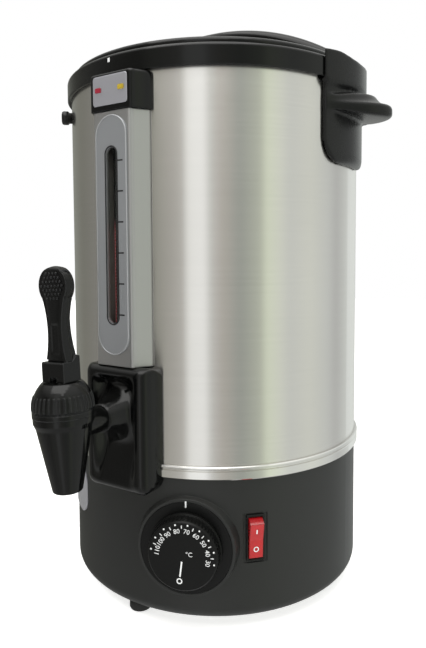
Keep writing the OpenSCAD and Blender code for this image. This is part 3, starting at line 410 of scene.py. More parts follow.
finishes = {
    "base_plastic": plastic("basePlastic", (0.0135, 0.0146, 0.0140), 0.44, grain=0.00006, grainSize=1800,
                            wear=0.2, edge=0.001),
    # Glossy black: its bright edge colour is a painted highlight along the edges, partly edge wear
    "gloss_black": plastic("glossBlack", (0.0025, 0.0027, 0.0027), 0.09, grain=0.000004, change=0.2,
                           dust=0.02, edge=0.0012, rubbed=(0.055, 0.057, 0.060), wear=0.6, specular=0.34),
    "black_plastic": plastic("blackPlastic", (0.0045, 0.0048, 0.0049), 0.27, grain=0.000012, dust=0.03,
                             edge=0.001, specular=0.35),
    "brushed_shell": brushedRound("brushedShell", (0.80, 0.785, 0.76), 0.22, anisotropy=0.9, shade=0.2),
    "tank_steel": brushedRound("tankSteel", (0.72, 0.71, 0.69), 0.34, across=2600, anisotropy=0.4),
    "chrome": brushedRound("bandChrome", (0.86, 0.85, 0.83), 0.14, across=1500, shade=0.05,
                           anisotropy=0.3),
    "column_silver": satinMetal("columnSilver", (0.45, 0.45, 0.45), 0.36, metallic=0.85, shade=0.08,
                                edge=0.0012),
    "gauge_grey": satinMetal("gaugeGrey", (0.42, 0.435, 0.46), 0.33, metallic=0.7,
                             stretch=(4000, 300, 260), shade=0.08, edge=0.0008),
    "plate_silver": satinMetal("plateSilver", (0.44, 0.44, 0.48), 0.34, metallic=0.6,
                               stretch=(260, 260, 4200)),
    "clear_glass": clearTube(),
    "strip_print": levelPrint(),
    "rubber": plastic("footRubber", (0.012, 0.012, 0.012), 0.7, grain=0.00008, grainSize=2400, dust=0.3,
                      wear=0.2),
    "silicone": plastic("paleSilicone", (0.62, 0.60, 0.54), 0.5, grain=0.00004, wear=0.1,
                        rubbed=(0.75, 0.73, 0.68)),
    "red_seal": plastic("redSeal", (0.42, 0.07, 0.04), 0.55, grain=0.00004, wear=0.1),
    "screw_steel": satinMetal("screwSteel", (0.68, 0.68, 0.68), 0.28, stretch=(2500, 2500, 400),
                              wear=0.4),
    "red_lens": lensPlastic("redLens", (0.26, 0.012, 0.03), 0.02),
    "amber_lens": lensPlastic("amberLens", (0.42, 0.30, 0.025), 0.03),
    "red_rocker": lensPlastic("redRocker", (0.42, 0.008, 0.012), 0.06, roughness=0.2),
    "knob_black": plastic("knobBlack", (0.0032, 0.0035, 0.0035), 0.36, grain=0.00003, grainSize=2200,
                          wear=0.25, edge=0.0006, dust=0.03, specular=0.22),
    "control_body": plastic("controlBody", (0.52, 0.50, 0.42), 0.42, grain=0.00003, wear=0.1,
                            rubbed=(0.62, 0.6, 0.52)),
    "copper": satinMetal("bulbCopper", (0.80, 0.46, 0.30), 0.25),
    "heater_metal": satinMetal("castAluminium", (0.58, 0.58, 0.58), 0.5, stretch=(500, 500, 500),
                               shade=0.2, height=0.00003),
    "element_sheath": satinMetal("elementSheath", (0.32, 0.27, 0.23), 0.48, stretch=(700, 700, 700),
                                 shade=0.5),
    "ceramic": plastic("ceramicBlock", (0.70, 0.68, 0.62), 0.6, grain=0.00006, wear=0.1,
                       rubbed=(0.8, 0.78, 0.74)),
}
# The rim ring is polished, while the handles of the same plastic are satin; its bright edge colour is a
# painted highlight along its edges, partly edge wear
polishedRing = plastic("polishedRing", (0.0030, 0.0033, 0.0032), 0.13, grain=0.000004, change=0.2,
                       dust=0.02, rubbed=(0.05, 0.053, 0.052), wear=0.5, specular=0.34)
# Screen-printed ink covers slightly unevenly
inkLook = dict(roughness=0.5, grain=0.00001, grainSize=3000, change=0.2, wear=0.0, dust=0.0, edge=0.0001)
whiteInk = plastic("whiteInk", (0.78, 0.79, 0.80), **inkLook)
blackInk = plastic("blackInk", (0.012, 0.012, 0.014), **inkLook)
# Paler trim for the gauge plate's rim: its brightness is a painted highlight along the bevel
paintedHighlightTrim = satinMetal("paintedHighlightTrim", (0.52, 0.53, 0.55), 0.34, metallic=0.6, shade=0.05, edge=0.0003)


def dressNodes():
    # Each node of the frame takes the finish of its own slot, apart from the ring
    for part in frame["record"]["subparts"]:
        ring = part["node"] == "rim_ring"
        materials = frame["nodes"][part["node"]].data.materials
        materials.clear()
        materials.append(polishedRing if ring else finishes[part["material_slot"]])


dressNodes()
print("urn: finishes on the frame's nodes")


# Placing detail on the urn

def turned(x, y, degrees):
    # Two coordinates turned clockwise: sums of their products with the angle's cosine and sine
    a = math.radians(degrees)
    return x * math.cos(a) + y * math.sin(a), -x * math.sin(a) + y * math.cos(a)


def onWall(sideways, out, up, azimuth):
    # Points from distances at a direction round the urn, in degrees from the tap's side
    x, y = turned(sideways, out, azimuth)
    return np.column_stack([x, -y, up])


def onFront(points, x, out, z):
    # A flat shape on the tap's side: its middle at x and z, its back at a distance out from the axis
    return np.column_stack([x + points[:, 0], -out - points[:, 2], z + points[:, 1]])


def outwards(mesh):
    # Turns every face of a closed mesh outwards
    shape = bmesh.new()
    shape.from_mesh(mesh)
    bmesh.ops.recalc_face_normals(shape, faces=shape.faces)
    shape.to_mesh(mesh)
    shape.free()


def addPiece(name, mesh, body, slotName, material=None, smooth=True, node=None):
    # A mesh as a piece: its finish, the body it rides on, its slot and the node that it replaces, if any
    if smooth:
        mesh.polygons.foreach_set("use_smooth", np.ones(len(mesh.polygons), bool))
    mesh.materials.clear()
    mesh.materials.append(material or finishes[slotName])
    piece = addObject(name, mesh)
    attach(piece, body)
    if node:
        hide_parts(node)


def meshPiece(name, points, faces, body, slotName, smooth=True, **kwargs):
    # A piece from arrays; a smooth one is a closed surface whose faces are turned outwards
    mesh = bpy.data.meshes.new(name)
    mesh.from_pydata(np.asarray(points, float).tolist(), [], faces)
    mesh.validate()
    mesh.update()
    if smooth:
        outwards(mesh)
    addPiece(name, mesh, body, slotName, smooth=smooth, **kwargs)


def gridFaces(rows, columns, closeRows=False, closeColumns=False):
    # Faces of a grid of points, row by row, with either way closed on itself
    r, c = np.meshgrid(np.arange(rows if closeRows else rows - 1),
                       np.arange(columns if closeColumns else columns - 1), indexing="ij")
    r1, c1 = (r + 1) % rows, (c + 1) % columns
    corners = [r * columns + c, r * columns + c1, r1 * columns + c1, r1 * columns + c]
    return np.stack(corners, axis=-1).reshape(-1, 4).tolist()


def joinParts(parts):
    # Several (points, faces) pairs as one
    points, faces, count = [], [], 0
    for partPoints, partFaces in parts:
        points.append(np.asarray(partPoints, float))
        faces += [[i + count for i in face] for face in partFaces]
        count += len(partPoints)
    return np.vstack(points), faces


def arc(end, steps=7):
    # Points of a unit circle from 0 to an angle
    a = np.linspace(0, end, steps)
    return np.column_stack([np.cos(a), np.sin(a)])


def circle(radius, steps):
    # Points of a circle: radius times the cosine and the sine of equal angles
    a = np.linspace(0, 2 * math.pi, steps, endpoint=False)
    return np.column_stack([radius * np.cos(a), radius * np.sin(a)])


def stackCircles(profile, steps):
    # Circles of each radius, each at its own height along the third direction
    return np.vstack([np.column_stack([circle(radius, steps), np.full(steps, at)]) for radius,
                      at in profile])


def bar(x0, y0, x1, y1):
    return [(x0, y0), (x1, y0), (x1, y1), (x0, y1)]


def flatShape(outline, thickness):
    # A flat convex shape with a thickness: the outline at depth 0 and again at the thickness, with its rim
    outline = np.asarray(outline, float)
    n = len(outline)
    points = np.vstack([np.column_stack([outline, np.full(n, depth)]) for depth in (0, thickness)])
    rim = [[i, (i + 1) % n, n + (i + 1) % n, n + i] for i in range(n)]
    return points, [list(range(n))[::-1], [n + i for i in range(n)]] + rim


def ringShape(outer, inner, thickness, steps=40):
    # A flat ring: radius and depth go round a four-cornered section
    section = [(outer, 0), (outer, thickness), (inner, thickness), (inner, 0)]
    faces = gridFaces(4, steps, closeRows=True, closeColumns=True)
    return stackCircles(section, steps), [face[::-1] for face in faces]


def finished(holder):
    # The mesh that an object's letters or modifiers come to; the object itself is taken away
    bpy.context.view_layer.update()
    mesh = bpy.data.meshes.new_from_object(holder.evaluated_get(bpy.context.evaluated_depsgraph_get()))
    bpy.data.objects.remove(holder)
    return mesh


def textShape(words, size, thickness):
    # Letters as a mesh, centred at the origin, with their depth along the third axis
    data = bpy.data.curves.new("letters", "FONT")
    data.body, data.size, data.align_x, data.align_y = words, size, "CENTER", "CENTER"
    data.extrude, data.resolution_u = thickness / 2, 3
    holder = addObject("letters", data)
    mesh = finished(holder)
    points = np.array([v.co for v in mesh.vertices], float) + (0, 0, thickness / 2)
    faces = [list(p.vertices) for p in mesh.polygons]
    bpy.data.meshes.remove(mesh)
    return points, faces


def smoothStep(value, low, high):
    # 0 below the low value, 1 above the high one, with a soft S between
    share = np.clip((np.asarray(value, float) - low) / (high - low), 0, 1)
    return share * share * (3 - 2 * share)


inkLift = 0.00003  # how far prints stand off the face under them

# Dial print; bars are (left, low, right, high) and rings (outer, inner) radius

dial = dict(azimuth=22.3, height=0.063, face=0.141, bossFace=0.129, ink=0.00006, letter=0.0047,
            numberRadius=0.0182, dotSize=0.00065, dotSteps=20, dotRadius=0.0229,
            dash=(-0.0003, -0.0011, 0.0003, 0.0011), dashRadius=0.0213, firstAngle=-80.0, step=22.5,
            numbers=[110, 100, 90, 80, 70, 60, 50, 40, 30], pointer=(-0.00055, 0.0035, 0.00055, 0.0146),
            pointerAngle=187, ring=(0.0021, 0.0013), ringRadius=0.0178, unitLetter=0.0046,
            unitPlace=(0.0048, 0.0018, 0), index=(-0.0006, 0.0298, 0.0006, 0.0345), indexInk=0.0001)


def turnedOut(shape, angle, radius):
    # Moves a flat shape to a clock angle and radius on the dial, its top pointing outwards
    (x, y, z), faces = shape[0].T, shape[1]
    return np.column_stack([*turned(x, y + radius, angle), z]), faces


def printAtDial(name, shape, face, body):
    # A flat shape on the knob or its boss, standing off the face by the ink's lift
    (x, y, z), faces = shape[0].T, shape[1]
    placed = onWall(x, face + inkLift + z, dial["height"] + y, dial["azimuth"])
    meshPiece(name, placed, faces, body, "knob_black", material=whiteInk, smooth=False)


def makeDialPrint():
    # Numbers, dots and dashes at equal angles, the pointer with its ring, and the unit in the middle
    d, parts = read(dial), []
    ink = d.ink
    for index, number in enumerate(d.numbers):
        angle = d.firstAngle + index * d.step
        parts.append(turnedOut(textShape(str(number), d.letter, ink), angle, d.numberRadius))
        parts.append(turnedOut(flatShape(circle(d.dotSize, d.dotSteps), ink), angle, d.dotRadius))
        if index:
            parts.append(turnedOut(flatShape(bar(*d.dash), ink), angle - d.step / 2, d.dashRadius))
    parts.append(turnedOut(flatShape(bar(*d.pointer), ink), d.pointerAngle, 0))
    parts.append(turnedOut(ringShape(*d.ring, ink), d.pointerAngle, d.ringRadius))
    letters, letterFaces = textShape("°C", d.unitLetter, ink)
    parts.append((letters + d.unitPlace, letterFaces))
    printAtDial("dialPrint", joinParts(parts), d.face, "dial")


makeDialPrint()
# The white line on the boss above the knob, which the dial's numbers are read against
printAtDial("dialIndex", flatShape(bar(*dial["index"]), dial["indexInk"]), dial["bossFace"], "urn")
print("urn: dial print")

# Level gauge marks

plateLow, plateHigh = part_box("gauge_plate")
gauge = dict(front=-plateLow.y, ticks=(0.3401, 0.3186, 0.2969, 0.2750, 0.2530, 0.2308), tickFrom=0.0062,
             tickTo=0.0108, tickHeight=0.0011, ink=0.00008, slotHalf=0.0048, slotLow=0.2243,
             slotHigh=0.3499, borderOut=0.0013, borderRise=0.0003, rimWide=0.0009, rimRise=0.00035,
             rimInset=0.0001, rimGap=0.00002, rimSteps=17,
             # (share of the width, share of the rise) of both rims
             rimSection=((0.0, 0.0), (0.0, 1.0), (0.3, 1.3), (0.75, 1.0), (1.0, 0.0)))


def makeGaugeTicks():
    # One flat bar at each height
    g = read(gauge)
    half = g.tickHeight / 2
    bars = [flatShape(bar(g.tickFrom, z - half, g.tickTo, z + half), g.ink) for z in g.ticks]
    points, faces = joinParts(bars)
    placed = onFront(points, 0, g.front + inkLift, 0)
    meshPiece("gaugeTicks", placed, faces, "urn", "gauge_grey", material=blackInk, smooth=False)


def longRim(name, half, low, high, wide, rise, material):
    # A low rounded section carried round a long slot's outline: two half circles joined by straight sides
    g, rows = read(gauge), []
    end = arc(math.pi, g.rimSteps)
    turn, middle = np.vstack([end, -end]), np.repeat([high - half, low + half], g.rimSteps)
    for share, depth in g.rimSection:
        reach = half + share * wide + g.rimGap
        flat = np.column_stack([turn[:, 0] * reach, middle + turn[:, 1] * reach,
                                np.full(len(turn), depth * rise)])
        rows.append(onFront(flat, 0, g.front + inkLift, 0))
    faces = gridFaces(len(rows), len(turn), closeRows=True, closeColumns=True)
    meshPiece(name, np.vstack(rows), faces, "urn", "gauge_grey", material=material)


def makeGaugeRims():
    # A black rim round the window, and round the plate a raised rim whose paler colour is a painted
    # highlight along the plate's bevel
    g = read(gauge)
    longRim("windowBorder", g.slotHalf, g.slotLow, g.slotHigh, g.borderOut, g.borderRise, blackInk)
    inset = g.rimWide + g.rimInset
    longRim("plateRim", (plateHigh.x - plateLow.x) / 2 - inset, plateLow.z + inset, plateHigh.z - inset,
            g.rimWide, g.rimRise, paintedHighlightTrim)


makeGaugeTicks()
makeGaugeRims()
print("urn: gauge marks")

# Switch marks

switch = dict(azimuth=45.2, height=0.068, axis=0.1208, tilt=8.0, ink=0.00008, lift=0.00004,
              middleOut=0.0064, lean=0.0012 / 0.01285, stroke=(-0.00045, -0.0017, 0.00045, 0.0017),
              strokeUp=0.0072, ring=(0.0020, 0.0013), ringUp=-0.0068)


def makeRockerPrint():
    # I and O on the rocker's two faces; each face leans outwards from the middle
    s, parts = read(switch), []
    stroke, ring = flatShape(bar(*s.stroke), s.ink), ringShape(*s.ring, s.ink)
    for (points, faces), centre in ((stroke, s.strokeUp), (ring, s.ringUp)):
        up = points[:, 1] + centre
        out = s.middleOut + np.abs(up) * s.lean + s.lift + points[:, 2]
        parts.append((np.column_stack([points[:, 0], *turned(out, up, s.tilt)]), faces))
    points, faces = joinParts(parts)
    placed = onWall(points[:, 0], s.axis + points[:, 1], s.height + points[:, 2], s.azimuth)
    meshPiece("rockerPrint", placed, faces, "rocker", "red_rocker", material=whiteInk, smooth=False)


# The small white mark on the rim ring above the gauge

ringMark = dict(low=0.4135, high=0.4165, left=-5.0, right=-4.0, reach=0.12835, columns=6)


def makeRingDash():
    # A patch of the ring's own cylinder between two directions and two heights
    g = read(ringMark)
    a = np.radians(np.repeat(np.linspace(g.left, g.right, g.columns), 2))
    front = np.column_stack([g.reach * np.sin(a), -g.reach * np.cos(a), [g.low, g.high] * g.columns])
    meshPiece("ringDash", front, gridFaces(g.columns, 2), "urn", "black_plastic", material=whiteInk,
              smooth=False)


makeRockerPrint()
makeRingDash()
print("urn: switch and ring marks")

# Paddle grip

tapFrame = dict(reach=0.187, height=0.1585, roll=-3.0)


def onTap(points):
    # From the tap's own frame (its axis up) to the urn's
    x, z = turned(points[:, 0], points[:, 2], tapFrame["roll"])
    return np.column_stack([x, points[:, 1] - tapFrame["reach"], z + tapFrame["height"]])


grip = dict(headHeight=0.0955, headRadius=0.0126, margin=0.0030, face=-0.00418, pitch=0.0031, rowShare=0.87,
            bump=0.00105, rise=0.00055, steps=12, rings=4, columns=8)


def makePaddleGrip():
    # Low domes in rows on the paddle's round head: radius and height follow a quarter sine
    g, parts = read(grip), []
    t = np.linspace(0, math.pi / 2, g.rings)[:-1]
    face, steps, rowPitch = g.face - inkLift, g.steps, g.pitch * g.rowShare
    rim = stackCircles([(g.bump * math.cos(angle), g.rise * math.sin(angle)) for angle in t], steps)
    dome = np.vstack([rim, [[0, 0, g.rise]]])
    last = len(rim) - steps
    faces = gridFaces(g.rings - 1, steps, closeColumns=True)
    faces += [[last + i, last + (i + 1) % steps, len(rim)] for i in range(steps)]
    faces.append(list(range(steps))[::-1])
    rowCount = int(2 * g.headRadius / rowPitch) + 1
    for row in range(-rowCount, rowCount + 1):
        z = row * rowPitch
        for column in range(-g.columns, g.columns + 1):
            x = (column + 0.5 * (row % 2)) * g.pitch
            if math.hypot(x, z) <= g.headRadius - g.margin:
                placed = [x + dome[:, 0], face - dome[:, 2], g.headHeight + z + dome[:, 1]]
                parts.append((np.column_stack(placed), faces))
    points, faces = joinParts(parts)
    meshPiece("paddleGrip", onTap(points), faces, "lever", "gloss_black")


makePaddleGrip()
print("urn: paddle grip")


# Moulded pieces

def loftSolid(loops):
    # A closed solid through loops of equal length, with each end closed by strips between its two halves
    loops = np.asarray(loops, float)
    rows, n = loops.shape[:2]
    faces = gridFaces(rows, n, closeColumns=True)
    last = (rows - 1) * n
    for i in range(n // 2 - 1):
        faces.append([i + 1, i, n - 1 - i, n - 2 - i])
        faces.append([last + i, last + i + 1, last + n - 2 - i, last + n - 1 - i])
    return loops.reshape(-1, 3), faces


def wallSolid(x, out, inner, z):
    # A closed solid between an outer and an inner face, both given over sideways distance and height
    front, back = (np.stack([x, -face, np.broadcast_to(z, x.shape)], axis=-1) for face in (out, inner))
    return loftSolid(np.concatenate([front, back[:, ::-1]], axis=1))


def quarterFall(near, radius, share=0.999):
    # How far a rounded edge falls: radius less the height of its circle, a distance near in from the edge
    near = np.clip(near, 0, radius * share)
    return radius - np.sqrt(radius ** 2 - near ** 2)


def mouldedSkin(name, parts, voxel, rounds, body, slotName, node):
    # Closed solids melted into one skin on a fine grid, then eased so that edges and joints are soft
    points, faces = joinParts(parts)
    draft = bpy.data.meshes.new(name + "Draft")
    draft.from_pydata(points.tolist(), [], faces)
    outwards(draft)
    holder = addObject(name + "Draft", draft)
    melt = holder.modifiers.new("melt", "REMESH")
    melt.mode, melt.voxel_size = "VOXEL", voxel
    ease = holder.modifiers.new("ease", "SMOOTH")
    ease.factor, ease.iterations = 0.5, rounds
    mesh = finished(holder)
    mesh.name = name
    addPiece(name, mesh, body, slotName, node=node)


# Lid grip

arch = dict(top=0.4655, foot=0.1154, lidTop=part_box("lid_cover")[1].z, width=0.034, thickness=0.013,
            round=0.0055, rows=81, extra=1.2)


def makeLidGrip():
    # A low arch: a round-cornered bar carried along a circular arc from one side of the lid to the other
    g = read(arch)
    rise = g.top - g.lidTop
    radius = (g.foot ** 2 + rise ** 2) / (2 * rise)
    half = math.asin(g.foot / radius) + math.radians(g.extra)
    quarter = arc(math.pi / 2) * g.round
    y0, r0 = g.width / 2 - g.round, g.thickness / 2 - g.round
    outline = np.vstack([quarter + [y0, r0], quarter[::-1] * [-1, 1] + [-y0, r0],
                         quarter * [-1, -1] + [-y0, -r0], quarter[::-1] * [1, -1] + [y0, -r0]])
    y, r = np.roll(outline, -3, axis=0).T  # the end strips then start in the middle of a corner
    angle = np.linspace(-half, half, g.rows)[:, None]
    reach = radius - g.thickness / 2 + r[None, :]
    across = np.broadcast_to(y, (g.rows, len(y)))
    loops = [reach * np.sin(angle), across, g.top - radius + reach * np.cos(angle)]
    points, faces = loftSolid(np.stack(loops, axis=-1))
    meshPiece("lidGrip", points, faces, "lid", "gloss_black", node="lid_handle")


makeLidGrip()
print("urn: lid grip")

# Side handles

handle = dict(low=0.3415, high=0.4235, shell=0.1252, ring=0.1286, ringLow=0.4032, ringEase=0.004,
              bracketHalf=0.0395, hoodHalf=0.0425, corner=0.020, bracketEdge=0.0015, bracketRise=0.0055,
              hoodEdge=0.0012, hoodRise=0.0062, hoodFrom=0.3955, hoodTo=0.4015, swellHalf=0.044,
              bottomRound=0.008, topOut=0.1293, topSlope=0.59, least=0.0006, rows=70, columns=41,
              underLeast=0.02, voxel=0.001, rounds=5)

ledge = dict(reach=0.159, half=0.039, span=0.0405, power=1.7, middle=0.3865, rootHeight=0.385, rows=61,
              thinLeast=0.25, thinPower=0.3,
             # (share of the way out, height) round the ledge: under side outwards, then top side back
             section=[(-0.12, 0.3790), (0.25, 0.3775), (0.55, 0.3768), (0.8, 0.3765), (0.95, 0.3770),
                      (1.0, 0.3788), (1.0, 0.3835), (0.95, 0.3858), (0.78, 0.3868), (0.64, 0.3895),
                      (0.5, 0.3945), (-0.12, 0.3972)])


def handleOut(t, z):
    # Outer face: the shell's or the ring's circle plus a thickness that swells towards the middle
    g = read(handle)
    swell = 1 - (t / g.swellHalf) ** 2
    bracket = np.sqrt(g.shell ** 2 - t ** 2) + g.bracketEdge + g.bracketRise * swell
    hood = np.sqrt(g.ring ** 2 - t ** 2) + g.hoodEdge + g.hoodRise * swell
    share = smoothStep(z, g.hoodFrom, g.hoodTo)
    return bracket * (1 - share) + hood * share


def handleWall():
    # The bracket and hood as sections stacked up the wall, rounded at the foot and sloped at the top
    g = read(handle)
    z = np.linspace(g.low, g.high, g.rows)[:, None]
    share = smoothStep(z, g.ringLow - g.ringEase, g.ringLow)
    half = g.bracketHalf * (1 - share) + g.hoodHalf * share
    half = half - quarterFall(g.low + g.corner - z, g.corner)
    t = np.linspace(-1, 1, g.columns)[None, :] * half
    inner = np.sqrt(np.where(z >= g.ringLow, g.ring, g.shell) ** 2 - t ** 2)
    under = np.clip(g.low + g.bottomRound - z, 0, g.bottomRound) / g.bottomRound
    outer = inner + (handleOut(t, z) - inner) * np.sqrt(np.clip(1 - under ** 2, g.underLeast, 1))
    outer = np.minimum(outer, g.topOut + (g.high - z) / g.topSlope)
    points, faces = wallSolid(t, np.maximum(outer, inner + g.least), inner, z)
    return points[:, [1, 0, 2]] * [-1, 1, 1], faces


def handleLedge():
    # The ledge as sections across the handle; its reach falls off as a power of a parabola
    g = read(ledge)
    across = np.linspace(-g.half, g.half, g.rows)
    root = handleOut(across, np.full_like(across, g.rootHeight))
    full = g.reach - root[g.rows // 2]
    length = (full * np.clip(1 - (across / g.span) ** 2, 0, 1) ** g.power / full)[:, None]
    share, height = np.array(g.section).T
    x = root[:, None] + share * full * np.where(share > 0, length, 1)
    h = g.middle + (height - g.middle) * np.clip(length, g.thinLeast, 1) ** g.thinPower
    return loftSolid(np.stack([x, np.broadcast_to(across[:, None], x.shape), h], axis=-1))


def makeHandle(name, side, node):
    parts = [(points * [side, side, 1], faces) for points, faces in (handleWall(), handleLedge())]
    mouldedSkin(name, parts, handle["voxel"], handle["rounds"], "urn", "black_plastic", node)


makeHandle("rightHandle", 1, "handle_right")
makeHandle("leftHandle", -1, "handle_left")
print("urn: side handles")

# Lamp housing, its plate and two lenses

lamps = dict(low=0.3757, high=0.4032, front=0.1385, frontHalf=0.0198, rootHalf=0.0262, rootOut=0.1222,
             wall=0.1252, corner=0.003, flankPower=1.5, flankSteps=7, frontSteps=12, rootThin=0.1,
             topRound=0.003, least=0.0004, rows=24, voxel=0.0006, rounds=4, sunk=0.0002, plateWidth=0.0318,
             plateHeight=0.0208, plateCorner=0.0022, plateMiddle=0.3899, plateRise=0.0004, lensOut=0.0105,
             lensMiddle=0.3905, lensWidth=0.0056, lensHeight=0.0036, lensCorner=0.0009, lensRise=0.0011,
             lensCrown=1.15)


def makeLampHousing():
    # Stacked plan sections: along one flank, round the front, back along the other, closed on the shell
    g = read(lamps)
    corner = [g.frontHalf - g.corner, g.front - g.corner] + g.corner * arc(math.pi / 2)
    bow = np.linspace(0, 1, g.flankSteps)[:-1]
    root = np.array([g.rootHalf, g.rootOut])
    flank = root + (corner[0] - root) * np.column_stack([bow ** g.flankPower, bow])
    half = np.vstack([flank, corner])
    front = np.linspace(corner[-1], corner[-1] * [-1, 1], g.frontSteps)[1:-1]
    plan = np.vstack([half, front, half[::-1] * [-1, 1]])
    z = np.linspace(g.low, g.high, g.rows)[:, None]
    fall = quarterFall(z - (g.high - g.topRound), g.topRound)
    x = plan[None, :, 0] * (1 - fall / g.rootHalf)
    out = np.maximum(plan[None, :, 1] - fall, g.wall + g.least - np.abs(x) * g.rootThin)
    inner = np.sqrt(g.wall ** 2 - x ** 2)
    solid = wallSolid(x, np.maximum(out, inner + g.least), inner, z)
    mouldedSkin("lampHousing", [solid], g.voxel, g.rounds, "urn", "gloss_black", "lamp_housing")


def pillowPlate(width, height, corner, rise, rows=9, columns=96, crown=1.0, inset=0.6, start=0.4):
    # A round-cornered plate whose rim falls away: outlines that shrink towards the middle as they rise
    direction = circle(1.0, columns)
    inward = np.sign(direction)
    outline = inward * [width / 2 - corner, height / 2 - corner] + corner * direction
    points = [np.column_stack([outline, np.zeros(columns)])]
    for angle in np.linspace(0, 1, rows) * math.pi / 2:
        level = np.full(columns, rise * (start + (1 - start) * math.sin(angle)))
        points.append(np.column_stack([outline - inward * (corner * inset * (1 - math.cos(angle))), level]))
    count = len(points) * columns
    faces = gridFaces(len(points), columns, closeColumns=True)
    last = count - columns
    for i in range(columns):
        faces.append([last + i, last + (i + 1) % columns, count])
        faces.append([(i + 1) % columns, i, count + 1])
    return np.vstack(points + [[[0, 0, rise * crown], [0, 0, 0]]]), faces


def makeLampFace():
    # The bright plate, and on it a red and an amber lens
    g = read(lamps)
    front = g.front - g.sunk
    points, faces = pillowPlate(g.plateWidth, g.plateHeight, g.plateCorner, g.plateRise + g.sunk)
    placed = onFront(points, 0, front, g.plateMiddle)
    meshPiece("lampPlate", placed, faces, "urn", "plate_silver", node="lamp_plate")
    points, faces = pillowPlate(g.lensWidth, g.lensHeight, g.lensCorner, g.lensRise, columns=64,
                                crown=g.lensCrown)
    for colour, side in (("red", -1), ("amber", 1)):
        placed = onFront(points, side * g.lensOut, front + g.plateRise, g.lensMiddle)
        meshPiece(colour + "Lamp", placed, faces, "urn", colour + "_lens", node="lamp_" + colour)


makeLampHousing()
makeLampFace()
print("urn: lamps")

# Tap cover

cover = dict(low=0.1005, high=0.193, rim=0.141, wall=0.1252, rootHalf=0.031, flatHalf=0.0195, power=2.4,
             recess=0.1302, recessFrom=0.0125, recessTo=0.0205, recessTop=0.189, recessTopDeep=0.178,
             dishLow=0.1025, dishHigh=0.140, dishPower=0.8, topRound=0.0065, bottomRound=0.010,
             topCorner=0.006, bottomCorner=0.012, tapHeight=0.1585, flareRadius=0.0098, flareRise=0.0240,
             flareFall=0.0052, least=0.0003, edgeShare=0.995, rows=150, columns=121)


def makeTapCover():
    # A height over the wall: a rounded frame, sunk in the middle, flared round the shank, dished below
    g = read(cover)
    z = np.linspace(g.low, g.high, g.rows)[:, None]
    half = (g.rootHalf - quarterFall(g.low + g.bottomCorner - z, g.bottomCorner, g.edgeShare)
            - quarterFall(z - (g.high - g.topCorner), g.topCorner, g.edgeShare))
    x = np.sin(np.linspace(-1, 1, g.columns) * math.pi / 2)[None, :] * half
    wall = np.sqrt(g.wall ** 2 - x ** 2)
    side = np.clip((np.abs(x) - g.flatHalf) / (g.rootHalf - g.flatHalf), 0, 1)
    rim = (wall + (g.rim - wall) * (1 - side ** g.power) ** (1 / g.power)
           - quarterFall(z - (g.high - g.topRound), g.topRound, g.edgeShare)
           - quarterFall(g.low + g.bottomRound - z, g.bottomRound, g.edgeShare))
    across = 1 - smoothStep(np.abs(x), g.recessFrom, g.recessTo)
    down = 1 - smoothStep(z, g.recessTopDeep, g.recessTop)
    sunk = across * down * smoothStep(z, g.dishLow, g.dishHigh) ** g.dishPower
    radius = np.sqrt(x ** 2 + (z - g.tapHeight) ** 2)
    flare = g.flareRise * np.exp(-np.clip(radius - g.flareRadius, 0, None) / g.flareFall)
    out = np.maximum(rim - (rim - g.recess) * sunk + flare * sunk, wall + g.least)
    points, faces = wallSolid(x, out, wall, z)
    meshPiece("tapCover", points, faces, "urn", "gloss_black", node="tap_cover")


makeTapCover()
print("urn: tap cover")

# Paddle

paddle = dict(base=0.0462, neckHeight=0.066, neckHalf=0.0067, neckCurve=7.4, headHeight=0.0955,
              headHalf=0.0129, headFrom=0.0835, headTo=0.0895, frontHalf=0.0042, baseSwell=0.0018,
              tipRound=0.0034, tipHalf=0.0004, power=3.4, dentHalf=0.0034, dentLow=0.0505, dentHigh=0.0715,
              dentDepth=0.0012, dentEase=0.0006, dentEnd=0.002, rows=120, columns=72)


def makePaddle():
    # Stacked super-ellipses: the half width follows a parabola up the neck and a circle round the head
    g = read(paddle)
    top = g.headHeight + g.headHalf
    z = g.base + (top - g.base) * np.sin(np.linspace(0, 1, g.rows) * math.pi / 2)[:, None]
    neck = g.neckHalf + g.neckCurve * (z - g.neckHeight) ** 2
    head = np.sqrt(np.clip(g.headHalf ** 2 - (z - g.headHeight) ** 2, g.tipHalf ** 2, None))
    joined = smoothStep(z, g.headFrom, g.headTo)
    half = neck * (1 - joined) + head * joined
    near = np.clip(z - (top - g.tipRound), 0, g.tipRound * 0.998)
    thick = g.frontHalf * np.sqrt(1 - (near / g.tipRound) ** 2)
    back = thick + g.baseSwell * (1 - smoothStep(z, g.base, g.neckHeight))
    cosine, sine = circle(1.0, g.columns).T[:, None, :]
    x = half * np.sign(cosine) * np.abs(cosine) ** (2 / g.power)
    y = np.sign(sine) * np.abs(sine) ** (2 / g.power) * np.where(sine < 0, thick, back)
    dent = ((1 - smoothStep(np.abs(x), g.dentHalf - g.dentEase, g.dentHalf + g.dentEase))
            * smoothStep(z, g.dentLow, g.dentLow + g.dentEnd)
            * (1 - smoothStep(z, g.dentHigh - g.dentEnd, g.dentHigh)))
    y = y + np.where(sine < 0, dent * g.dentDepth, 0)
    points, faces = loftSolid(np.stack([x, y, np.broadcast_to(z, x.shape)], axis=-1))
    meshPiece("paddle", onTap(points), faces, "lever", "gloss_black")


makePaddle()
print("urn: paddle")

# Stud on the left of the shell, and the feet

stud = dict(azimuth=-45.0, height=0.3905, wall=0.1250, steps=36,
            # (radius, distance out from the shell)
            profile=[(0.0045, -0.0004), (0.0045, 0.0022), (0.0052, 0.0026), (0.0057, 0.0034),
                     (0.0057, 0.0068), (0.0050, 0.0081), (0.0030, 0.0086)])

